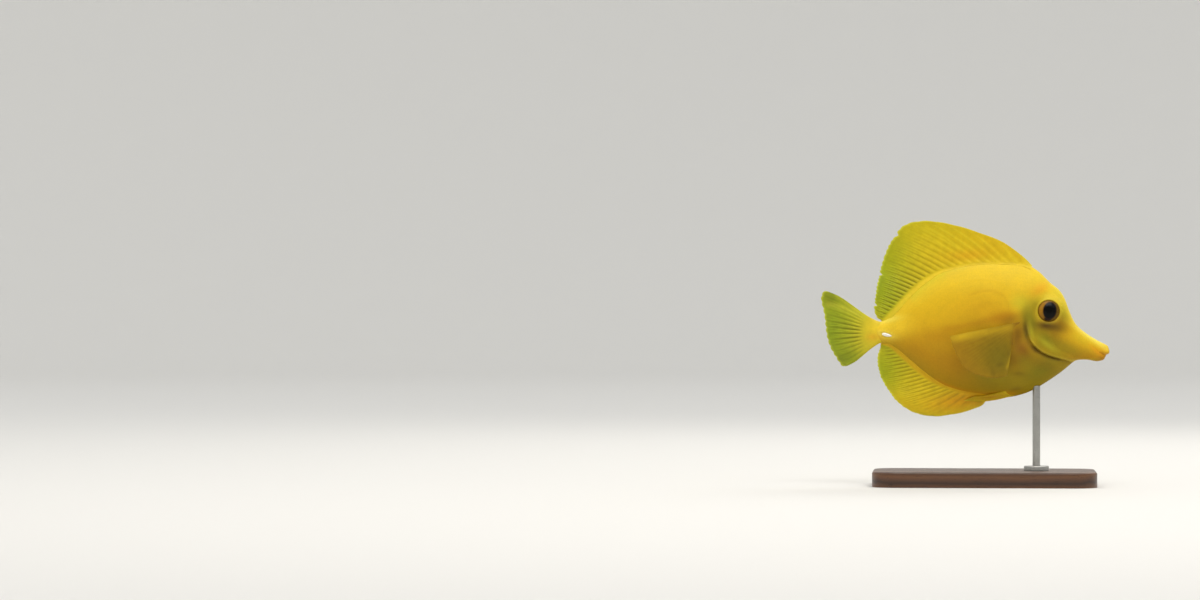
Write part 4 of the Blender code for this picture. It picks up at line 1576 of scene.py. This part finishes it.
@dataclass
class TailBlades:
    """The white spine in its groove on each side of the tail stalk."""

    form: FishForm
    semi_axes: tuple[float, float, float] = (2.6, 0.95, 1.1)  # along, outwards, upwards
    taper: float = 0.42

    def build(self, finish: BladeFinish) -> list[bpy.types.Object]:
        """Models both blades: pointed forwards, keeled along the outer side.

        Args:
            finish: the polished resin.

        Returns:
            The two pieces.
        """
        material = finish.material()
        made = []
        for side in Side:
            start_clean()
            bpy.ops.mesh.primitive_uv_sphere_add(segments=48, ring_count=40, radius=1.0)
            blade = take(f"tail_blade_{side.name.lower()}")
            rays = read_places(blade.data)
            forward, outward, upward = rays[:, 2], rays[:, 0], rays[:, 1]
            narrow = 1 - self.taper * (forward + 1) / 2
            keel = 1 - 0.22 * np.abs(upward) ** 0.7
            u = forward * self.semi_axes[0]
            v = upward * self.semi_axes[2] * narrow
            w = outward * self.semi_axes[1] * narrow * keel
            turn = math.radians(self.form.spine_dip_deg)
            x = self.form.spine_centre[0] + u * math.cos(turn) + v * math.sin(turn)
            h = self.form.spine_centre[1] - u * math.sin(turn) + v * math.cos(turn)
            flank = float(self.form.half_width(*self.form.spine_centre)) - 0.1
            write_places(blade.data, self.form.world(x, side.value * (flank + w), h))
            face_outwards(blade)
            made.append(register(blade, material, (f"tail_spine_{side.name.lower()}",)))
        return made


# Stand


@dataclass
class DisplayStand:
    """A walnut base with a turned steel collar and a rod that carries the fish under its breast."""

    base: tuple[float, float, float] = (116.0, 62.0, 8.0)
    corner: float = 12.0
    edge: float = 1.2
    rod_x: float = 27.0
    rod_radius: float = 2.0
    rod_top: float = 52.2
    collar_radius: float = 6.5
    collar_height: float = 2.4
    seat: float = 8.0

    def build(self, wood: WalnutFinish, steel: SteelFinish) -> list[bpy.types.Object]:
        """Models the three pieces of the stand.

        Args:
            wood: finish of the base.
            steel: finish of the collar and rod.

        Returns:
            The pieces.
        """
        metal = steel.material()
        return [self.build_base(wood), self.build_collar(metal), self.build_rod(metal)]

    def build_base(self, wood: WalnutFinish) -> bpy.types.Object:
        """Models the base from a block with bevelled corners and an eased upper edge.

        Args:
            wood: the wood's finish.

        Returns:
            The base.
        """
        start_clean()
        length, width, height = (size * MM for size in self.base)
        bpy.ops.mesh.primitive_cube_add(size=1.0, location=(0, 0, height / 2), scale=(length, width, height))
        base = take("stand_plinth")
        self.bevel(base, lambda a, b: abs(a.z - b.z) > MM, self.corner, 20)
        self.bevel(base, lambda a, b: min(a.z, b.z) > height - 0.1 * MM, self.edge, 6)
        self.bevel(base, lambda a, b: max(a.z, b.z) < 0.1 * MM, 0.35, 3)
        return register(base, wood.material(), ("stand_base",), 30.0)

    def bevel(self, piece: bpy.types.Object, chosen: Callable[[Vector, Vector], bool], offset: float,
              segments: int) -> None:
        """Bevels the edges of a piece that a test on their two ends picks.

        Args:
            piece: the mesh object.
            chosen: the test, given the places of both ends.
            offset: width of the bevel in millimetres.
            segments: how many faces round it.
        """
        ends = [vertex.co for vertex in piece.data.vertices]
        pick(piece, Part.EDGES, [chosen(*(ends[k] for k in line.vertices)) for line in piece.data.edges])
        bpy.ops.mesh.bevel(offset=offset * MM, segments=segments, profile=0.5, affect="EDGES")
        bpy.ops.object.mode_set(mode="OBJECT")

    def build_collar(self, metal: bpy.types.Material) -> bpy.types.Object:
        """Models the collar: a disc with a rounded upper edge and a turned groove.

        Args:
            metal: the steel's material.

        Returns:
            The collar.
        """
        start_clean()
        low = self.seat
        bpy.ops.mesh.primitive_cylinder_add(
            vertices=96, radius=self.collar_radius * MM, depth=self.collar_height * MM,
            location=(self.rod_x * MM, 0, (low + self.collar_height / 2 + 0.15) * MM),
        )
        collar = take("stand_ring")
        top = (low + self.collar_height + 0.1) * MM
        self.bevel(collar, lambda a, b: min(a.z, b.z) > top - 0.05 * MM, 0.7, 6)
        faces = collar.data.polygons
        pick(collar, Part.FACES, [face.normal.z > 0.999 and len(face.vertices) > 8 for face in faces])
        bpy.ops.mesh.inset(thickness=1.6 * MM)
        bpy.ops.mesh.inset(thickness=0.35 * MM, depth=-0.3 * MM)
        bpy.ops.mesh.inset(thickness=0.35 * MM, depth=0.3 * MM)
        bpy.ops.object.mode_set(mode="OBJECT")
        return register(collar, metal, ("stand_collar",), 40.0)

    def build_rod(self, metal: bpy.types.Material) -> bpy.types.Object:
        """Models the rod, rounded at its tip, which carries the fish under its breast.

        Args:
            metal: the steel's material.

        Returns:
            The rod.
        """
        start_clean()
        foot = (self.seat + self.collar_height) * MM
        top = self.rod_top * MM
        bpy.ops.mesh.primitive_cylinder_add(
            vertices=64, radius=self.rod_radius * MM, depth=top - foot,
            location=(self.rod_x * MM, 0, (top + foot) / 2),
        )
        rod = take("stand_stem")
        self.bevel(rod, lambda a, b: min(a.z, b.z) > top - 0.05 * MM, 0.5, 5)
        return register(rod, metal, ("stand_rod",), 40.0)


# Studio


@dataclass
class Studio:
    """A pale paper bowl, three soft lights and the camera at the photograph's view."""

    photo_centre: tuple[float, float] = (-200.7, 96.7)  # x and height at the picture's middle
    frame_width_mm: float = 627.0
    lens_mm: float = 135.0
    sensor_mm: float = 36.0
    camera_x: float = -10.0
    fish_height: float = 0.085  # in metres, where the lights look
    bowl_radius: float = 5.0  # in metres, as the bowl's other sizes
    bowl_height: float = 3.2
    bowl_curve: float = 1.6

    def build(self) -> None:
        """Sets up the stage, the lights, the camera and the plain view transform."""
        self.build_backdrop()
        self.light("key", (0.10, -0.50, 1.10), (0.8, 0.6), 6.0, "#fff8ee")
        self.light("edge", (0.25, 0.75, 0.75), (0.8, 0.4), 2.5, "#fffaf0")
        self.light("ceiling", (0.0, 0.0, 3.15), (9.0, 9.0), 235.0, "#ffffff")
        self.build_camera()
        scene = bpy.context.scene
        world = bpy.data.worlds.new("studio")
        scene.world = world
        world.use_nodes = True
        world.node_tree.nodes["Background"].inputs["Color"].default_value = paint("#f2f4f6")
        world.node_tree.nodes["Background"].inputs["Strength"].default_value = 0.2
        scene.view_settings.view_transform = "Standard"

    def build_backdrop(self) -> None:
        """Models the paper bowl: a round floor that curves up all round, so every view is plain."""
        start_clean()
        bpy.ops.mesh.primitive_cylinder_add(
            vertices=128, radius=self.bowl_radius, depth=self.bowl_height,
            location=(0, 0, self.bowl_height / 2),
        )
        bowl = take("studio_bowl")
        pick(bowl, Part.FACES, [face.normal.z > 0.9 for face in bowl.data.polygons])
        bpy.ops.mesh.delete(type="FACE")
        bpy.ops.object.mode_set(mode="OBJECT")
        low = [vertex.co.z < 0.01 for vertex in bowl.data.vertices]
        pick(bowl, Part.EDGES, [all(low[k] for k in edge.vertices) for edge in bowl.data.edges])
        bpy.ops.mesh.bevel(offset=self.bowl_curve, segments=24, profile=0.5, affect="EDGES")
        bpy.ops.mesh.select_all(action="SELECT")
        bpy.ops.mesh.normals_make_consistent(inside=True)
        bpy.ops.object.mode_set(mode="OBJECT")
        bpy.ops.object.shade_smooth()
        bowl.data.materials.append(BackdropFinish().material())

    def aim(self, holder: bpy.types.Object, place: Vector, at: Vector) -> None:
        """Adds a light or the camera to the scene at its place, looking at a point.

        Args:
            holder: the new object.
            place: where it stands or hangs, in metres.
            at: the point that it looks at.
        """
        bpy.context.scene.collection.objects.link(holder)
        turn = (at - place).to_track_quat("-Z", "Y").to_matrix().to_4x4()
        holder.matrix_world = Matrix.Translation(place) @ turn

    def light(self, name: str, place: tuple[float, float, float], size: tuple[float, float],
              watts: float, colour: str) -> None:
        """Hangs one soft light that looks at the fish.

        Args:
            name: the light's name.
            place: where it hangs, in metres.
            size: its width and height, in metres.
            watts: its power.
            colour: its colour.
        """
        lamp = bpy.data.lights.new(name, "AREA")
        lamp.shape = "RECTANGLE"
        lamp.size, lamp.size_y = size
        lamp.energy = watts
        lamp.color = paint(colour)[:3]
        self.aim(bpy.data.objects.new(name, lamp), Vector(place), Vector((0.0, 0.0, self.fish_height)))

    def build_camera(self) -> None:
        """Puts the camera level in front of the fish, turned so that the fish sits at the right."""
        data = bpy.data.cameras.new("camera")
        data.lens, data.sensor_width = self.lens_mm, self.sensor_mm
        data.sensor_fit = "HORIZONTAL"
        x, height = (value * MM for value in self.photo_centre)
        away = self.frame_width_mm * MM * self.lens_mm / self.sensor_mm
        camera = bpy.data.objects.new("camera", data)
        self.aim(camera, Vector((self.camera_x * MM, -away, height)), Vector((x, 0.0, height)))
        bpy.context.scene.camera = camera


# Paint schemes


def skin_coats(skin: FishSkin) -> tuple[Coat, ...]:
    """Plans the coats of the skin, in the order in which they are sprayed.

    Args:
        skin: the skin, for the lines that some strokes follow.

    Returns:
        The coats.
    """
    gill = skin.gill_line[5:-1]
    low_gill = ((25.0, -7.4), (28.0, -10.0), (32.2, -12.3), (37.0, -13.9), (40.5, -14.7))
    belly_edge = ((10.0, -33.6), (-2.0, -32.8), (-10.0, -31.8), (-18.0, -29.4), (-28.0, -24.2))
    back_edge = ((16.0, 36.2), (4.0, 36.8), (-8.0, 36.0), (-20.0, 33.2), (-31.0, 27.0), (-41.0, 17.4))
    flank_arc = ((-10.0, 18.4), (-3.0, 20.8), (4.0, 21.4), (9.5, 19.0), (12.4, 14.6), (12.6, 10.0))
    brow_edge = ((37.0, 25.0), (42.6, 17.0), (46.2, 7.6), (52.0, 0.6), (58.5, -3.8), (64.0, -7.4))
    orbit = skin.orbit_reach
    return (
        # the flank's warmer tone, laid also as painted shadow in the streak along the pectoral fin's upper
        # edge and as painted shade on the lower and rear flank
        Coat("amber", "#b8800a", (
            Spot(9.0, 7.6, 8.0, 3.2, 12, 0.8),
            Stroke(((18.0, 10.2), (4.0, 6.6), (-10.0, 3.4), (-24.0, 0.8)), 1.8, 0.4),
            Spot(-24.0, -2.4, 10.0, 4.0, 4, 0.45), Spot(-34.0, -9.0, 12.0, 5.0, -30, 0.35),
            Spot(-12.0, -18.0, 20.0, 12.0, -12, 0.5), Spot(0.0, 12.5, 16.0, 8.5, 0, 0.32),
            Spot(43.0, 2.0, 6.0, 3.0, -40, 0.3), Spot(-4.0, -12.0, 14.0, 8.0, 0, 0.3),
            Stroke(flank_arc, 0.7, 0.25),
        )),
        # the greener tone of cheek, gill plate, breast and belly, laid darker there as painted shade, and as
        # painted shade on the flank under and below the pectoral fin
        Coat("olive", "#7b750f", (
            Spot(32.0, -3.5, 8.5, 5.4, -42, 0.88), Spot(24.5, 5.0, 3.8, 8.5, 8, 0.85),
            Spot(30.0, -19.0, 14.0, 7.0, 32, 0.85), Spot(8.0, -24.0, 14.0, 7.5, -4, 0.4),
            Spot(25.5, 13.5, 4.0, 6.0, -12, 0.5), Spot(43.0, -8.5, 8.0, 3.4, -20, 0.4),
            Spot(3.0, -14.0, 11.0, 11.0, 0, 0.72), Spot(21.0, -14.0, 6.0, 5.0, 0, 0.6),
            Spot(40.6, 9.0, 3.2, 5.0, 15, 0.6), Spot(21.6, 8.0, 3.0, 7.0, 0, 0.7),
            Spot(26.5, 15.5, 2.6, 3.0, 0, 0.3), Spot(21.6, 0.5, 1.6, 5.0, 5, 0.7),
            Spot(28.4, -6.6, 3.0, 3.0, 0, 0.4),
        )),
        # reddish-brown painted shade in the hollow behind and under the gill cover, round the pectoral root
        # and beside the eye
        Coat("russet_shade", "#7d5807", (
            Spot(17.2, -0.6, 4.0, 7.0, -8, 0.92), Spot(13.2, 6.2, 4.6, 2.6, 15, 0.6),
            Spot(20.6, -9.6, 5.0, 3.2, -35, 0.75), Spot(26.0, -8.6, 3.5, 1.6, -40, 0.5),
            Spot(15.0, -14.0, 4.0, 4.5, 0, 0.6), Spot(39.6, 4.4, 3.8, 3.8, -30, 0.62),
            Spot(36.5, -1.2, 5.0, 3.0, -30, 0.45), Spot(30.0, -16.0, 10.0, 3.0, -20, 0.3),
            Spot(17.0, -4.0, 2.6, 5.0, -8, 0.5),
        )),
        # the skin's greener yellow, laid also as painted highlight on the cheek, over the eye, along the
        # gill cover's edge and the back's edge, and to lighten the flank below the pectoral fin against its
        # shadow
        Coat("lime", "#c6bf2c", (
            Spot(40.6, 14.0, 2.4, 7.0, 22, 0.4), Spot(31.0, 19.0, 6.0, 2.2, 10, 0.4),
            Spot(32.4, -6.2, 6.0, 1.5, -38, 0.4), Spot(24.4, 0.0, 1.0, 5.0, 12, 0.35),
            Spot(33.0, 16.9, 5.0, 1.0, 8, 0.4), Spot(18.0, 15.0, 4.0, 4.0, 0, 0.25),
            Stroke(back_edge[2:], 2.6, 0.5), Spot(51.0, -4.0, 8.0, 2.4, -28, 0.2),
            Stroke(back_edge[3:], 5.0, 0.35), Spot(18.0, 16.0, 5.0, 4.0, 0, 0.35),
            Spot(35.0, 24.0, 8.0, 3.0, -40, 0.25), Spot(4.0, -23.5, 13.0, 4.0, -6, 0.14),
        )),
        Coat("lemon", "#edca2e", (
            Spot(-46.0, 2.6, 9.0, 5.0, 10, 0.7), Spot(-55.0, 0.6, 7.0, 6.0, 0, 0.75),
            Spot(62.8, -8.8, 2.6, 1.8, -20, 0.45),
        )),
        # the warm tone of snout, lips, nape and tail stalk; along the belly beside the pelvic fins it is
        # partly painted shadow between fin and belly
        Coat("orange", "#e09010", (
            Spot(61.0, -10.5, 4.0, 3.2, 0, 0.25), Spot(57.6, -9.3, 4.5, 1.2, -40, 0.45),
            Spot(28.9, 22.2, 5.2, 3.0, 35, 0.45), Spot(8.5, -32.4, 8.0, 1.4, 8, 0.5),
            Spot(-56.0, -2.6, 3.4, 1.8, 0, 0.3), Stroke(belly_edge, 1.8, 0.4),
            Spot(-16.0, -31.0, 8.0, 2.0, -20, 0.4),
            Spot(52.0, -13.4, 8.0, 2.0, 0, 0.2),
        )),
        Coat("blush", "#8f521c", (Spot(20.0, -7.4, 3.0, 4.6, -35, 0.34),)),
        # dark brown painted shade under the eye, in the gill opening and along the gill cover's lower edge,
        # under the gill cover and below the pectoral fin
        Coat("umber_shade", "#4d3507", (
            Spot(31.6, 3.5, 5.4, 2.6, -4, 0.92), Spot(36.8, 2.4, 5.4, 2.6, -16, 0.62),
            Stroke(gill, 0.9, 0.3, -1.0), Stroke(low_gill, 0.6, 0.6), Spot(25.8, -8.6, 3.6, 1.2, -40, 0.4),
            Spot(21.6, 1.4, 1.3, 4.6, 6, 0.5), Spot(17.5, -21.6, 3.2, 1.2, -6, 0.35),
            Spot(16.5, -29.4, 3.4, 1.1, 12, 0.4),
        )),
        # painted highlight along the gill cover's edge, the snout, the back's edge, the top of the tail
        # stalk, the jaw's lower edge and the brow, with a pale patch round the tail spine
        Coat("pale", "#ecdb56", (
            Stroke(gill, 0.5, 0.12, 0.6), Spot(56.0, -3.4, 11.0, 1.3, -34, 0.6),
            Stroke(back_edge[:4], 2.0, 0.2), Spot(-51.0, 6.4, 7.0, 1.6, 10, 0.8),
            Spot(-51.0, -1.4, 4.4, 1.9, -14, 0.6),
            Spot(50.0, -14.4, 10.0, 0.7, 2, 0.25),
            Stroke(brow_edge, 1.2, 0.45),
        )),
        # painted shade in the mouth's slit and under the lower lip
        Coat("mouth_shade", "#a8690e", (
            Stroke(((59.0, -10.2), (62.4, -11.8), (66.5, -12.5)), 0.5, 0.45),
            Spot(61.0, -13.6, 3.0, 1.2, 8, 0.45),
        )),
        Coat("orbit", "#d4c440", (OrbitRing(skin.form.eye_centre, orbit + 0.8, 0.6, 0.14),)),
        Coat("orbit_shade", "#7a5c10", (OrbitRing(skin.form.eye_centre, orbit - 0.05, 0.25, 0.45),)),
    )


def build_fins(form: FishForm) -> list[bpy.types.Object]:
    """Builds every fin with its own coats.

    Args:
        form: the fish's lines.

    Returns:
        The pieces.
    """
    median_coats = (
        Coat("lime", "#94a512", (
            Spot(-57.0, 26.0, 19.0, 30.0, 12, 0.95), Spot(-34.0, 60.0, 30.0, 10.0, 0, 0.3),
            Spot(-56.0, -22.0, 14.0, 18.0, -20, 0.85), Spot(-34.0, -46.0, 20.0, 5.0, 0, 0.4),
            Spot(-48.0, 46.0, 11.0, 12.0, 0, 0.35),
        )),
        Coat("golden", "#da9c12", (
            Spot(-8.0, 40.0, 12.0, 3.0, 5, 0.5), Spot(-12.0, -35.5, 18.0, 5.0, 10, 0.85),
            Spot(8.0, 46.0, 16.0, 8.0, -30, 0.15),
        )),
    )
    dorsal = MedianFin(
        form, "fin_dorsal", "dorsal_fin", rays=29, columns=16, rows=84, crest_mm=1.1,
        coats=median_coats, finish_name="dorsal_web", spines=5, edge=Edge.BACK, root_span=(23.6, -52.4),
        bare_mm=(2.9, 3.4), rise_mm=2.4, flesh_paint=(0.95, 0.6),
        margin_line=(
            (24.8, 34.7), (19.9, 39.7), (9.7, 47.0), (-3.1, 52.1), (-15.7, 55.9), (-28.4, 58.0),
            (-38.1, 57.2), (-44.2, 53.8), (-49.8, 45.2), (-53.7, 34.5), (-56.2, 23.1), (-57.5, 13.0),
            (-56.2, 7.9), (-53.0, 5.9),
        ),
        tip_shares=(
            (0.0, 0.0), (0.03, 0.12), (0.1, 0.3), (0.2, 0.46), (0.3, 0.565), (0.42, 0.635), (0.535, 0.69),
            (0.6, 0.738), (0.66, 0.777), (0.74, 0.827), (0.82, 0.877), (0.89, 0.922), (0.93, 0.957),
            (0.96, 0.985), (1.0, 1.0),
        ),
        root_shares=(
            (0.0, 0.0), (0.1, 0.15), (0.2, 0.295), (0.3, 0.43), (0.4, 0.548), (0.5, 0.64), (0.6, 0.715),
            (0.7, 0.787), (0.85, 0.893), (1.0, 1.0),
        ),
        bow=((0.0, 0.03), (0.5, 0.03), (0.8, 0.0), (1.0, 0.0)), flesh_colour="#e6c72d",
        gap_strength=((0.0, 0.06), (0.25, 0.16), (0.4, 0.4), (0.55, 0.85), (1.0, 1.0)), ray_light=0.42,
        scallop_mm=0.45, nips=((0.27, 1.2, 0.45), (0.56, 1.3, 0.3), (0.835, 1.2, 0.3)), seed=11,
    )
    anal = MedianFin(
        form, "fin_anal", "anal_fin", rays=26, columns=15, rows=68, crest_mm=1.05,
        coats=median_coats, finish_name="anal_web", spines=3, edge=Edge.BELLY, root_span=(1.0, -53.2),
        bare_mm=(3.3, 3.6), rise_mm=2.4, flesh_paint=(0.55, 0.8),
        margin_line=(
            (1.0, -35.5), (-1.9, -38.8), (-11.5, -42.0), (-20.4, -43.6), (-27.4, -44.0), (-36.5, -42.1),
            (-44.6, -37.1), (-50.6, -29.6), (-54.4, -22.2), (-55.7, -13.6), (-53.9, -7.1),
        ),
        tip_shares=(
            (0.0, 0.0), (0.03, 0.12), (0.09, 0.3), (0.2, 0.52), (0.32, 0.63), (0.44, 0.703), (0.55, 0.785),
            (0.66, 0.86), (0.74, 0.912), (0.8, 0.955), (0.86, 0.985), (1.0, 1.0),
        ),
        root_shares=((0.0, 0.0), (0.2, 0.235), (0.4, 0.45), (0.6, 0.64), (0.8, 0.82), (1.0, 1.0)),
        bow=((0.0, 0.03), (0.5, 0.02), (1.0, 0.0)), flesh_colour="#cf9d10",
        gap_strength=((0.0, 0.2), (0.3, 0.4), (0.6, 0.6), (1.0, 0.8)), ray_light=0.45, scallop_mm=0.3,
        seed=23,
    )
    tail = TailFin(
        form, "fin_tail", "tail_fin", rays=15, columns=20, rows=80, crest_mm=1.15,
        coats=(
            Coat("lime", "#8c9e1c", (
                Spot(-82.0, -3.0, 15.0, 40.0, -8, 0.97), Spot(-70.0, -14.0, 8.0, 6.0, -30, 0.7),
            )),
            Coat("golden", "#e2c42c", (Spot(-56.0, 0.8, 8.0, 12.0, 0, 1.0),)),
            Coat("orange", "#dc981e", (Spot(-57.6, -2.6, 3.4, 1.8, 0, 0.45),)),
            # painted highlight along the rays of the upper lobe
            Coat("bright", "#cdc83a", (
                Stroke(((-60.0, 7.0), (-67.0, 10.0), (-76.0, 13.5), (-84.0, 15.0)), 1.6, 0.5),
                Stroke(((-62.0, 9.2), (-70.0, 14.4), (-79.0, 20.0)), 0.8, 0.4),
            )),
            Coat("shade", "#626c10", (
                Spot(-74.0, -13.5, 7.0, 3.0, 20, 0.4), Spot(-80.5, 17.5, 5.0, 3.4, -25, 0.45),
            )),
        ),
        finish_name="tail_web", web_colour="#b8b324", flesh_paint=(0.0, 0.0), bare_mm=(10.0, 10.0),
        rise_mm=4.0,
        branch_at=(0.47, 0.7), gap_fade=((0.0, 1.0), (0.6, 0.85), (0.88, 0.3), (1.0, 0.0)),
        gap_strength=(
            (0.0, 0.0), (0.12, 0.08), (0.28, 0.35), (0.42, 0.9), (0.6, 0.8), (0.8, 0.35), (1.0, 0.1),
        ),
        scallop_mm=0.5, seed=31,
    )
    made = [dorsal.build(), anal.build(), tail.build()]
    for side in Side:
        suffix = side.name.lower()
        made.append(PectoralFin(
            form, f"fin_pectoral_{suffix}", f"pectoral_fin_{suffix}", rays=14, columns=14, rows=60,
            flesh_mm=2.0, crest_mm=0.55, finish_name=f"pectoral_web_{suffix}", side=side,
            coats=(
                # this dark olive coat is painted shade over the lower web
                Coat("lime", "#766508", (Spot(8.0, -13.0, 13.0, 15.0, 20, 0.97),)),
                # painted highlight along the upper rays and the lowest ray, where they catch the light
                Coat("golden", "#c8a51a", (
                    Stroke(((19.0, 3.4), (7.8, 1.5), (0.0, 0.4), (-9.0, -1.3), (-21.0, -4.4)), 2.1, 0.5),
                    Spot(-10.0, -1.5, 8.0, 2.2, 11, 0.8),
                    Stroke(((16.6, 3.0), (15.0, -7.0), (13.2, -14.0), (11.0, -20.0)), 0.8, 0.4),
                )),
                Coat("shade", "#5c4c04", (
                    Spot(8.0, -16.8, 2.4, 1.2, 20, 0.45), Spot(4.2, -20.5, 1.2, 2.6, 15, 0.35),
                    Stroke(((14.2, 1.0), (13.4, -6.0), (12.2, -13.0)), 0.7, 0.15),
                )),
            ),
            flesh_reach_mm=5.5, flesh_colour="#8a6408", web_colour="#9d760b", bare_mm=(2.5, 2.5),
            rise_mm=6.0, forks=1, ray_light=0.08, branch_at=(0.4, 0.7),
            gap_strength=((0.0, 0.03), (0.3, 0.08), (1.0, 0.1)),
            scallop_mm=0.3, margin_light=0.0, seed=41,
        ).build())
        made.append(PelvicFin(
            form, f"fin_pelvic_{suffix}", f"pelvic_fin_{suffix}", rays=6, columns=14, rows=60,
            flesh_mm=1.5, crest_mm=0.95, finish_name=f"pelvic_web_{suffix}", side=side,
            coats=(
                Coat("lime", "#a89412", (Spot(-8.0, -35.0, 6.0, 4.0, 0, 0.5),)),
                # the orange-brown band along the fin is partly painted shadow between fin and belly
                Coat("golden", "#b07a10", (Spot(3.0, -33.8, 9.0, 2.0, 5, 0.7),)),
            ),
            flesh_reach_mm=4.0, flesh_colour="#8c6a12", bare_mm=(1.0, 1.0), rise_mm=4.0,
            branch_at=(0.45, 0.75), scallop_mm=0.2, margin_light=0.3,
            gap_strength=((0.0, 0.4), (1.0, 0.4)), seed=53,
        ).build())
    return made


def main() -> None:
    """Builds the studio and every piece in order; each piece logs its triangle count."""
    logging.basicConfig(level=logging.INFO, format="%(message)s")
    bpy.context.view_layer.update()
    form = FishForm()
    Studio().build()
    skin = FishSkin(form)
    skin.build(SkinFinish(coats=skin_coats(skin)))
    build_fins(form)
    Eyes(form).build(EyeFinish())
    TailBlades(form).build(BladeFinish())
    DisplayStand().build(WalnutFinish(), SteelFinish())
    start_clean()


if __name__ == "__main__":
    main()
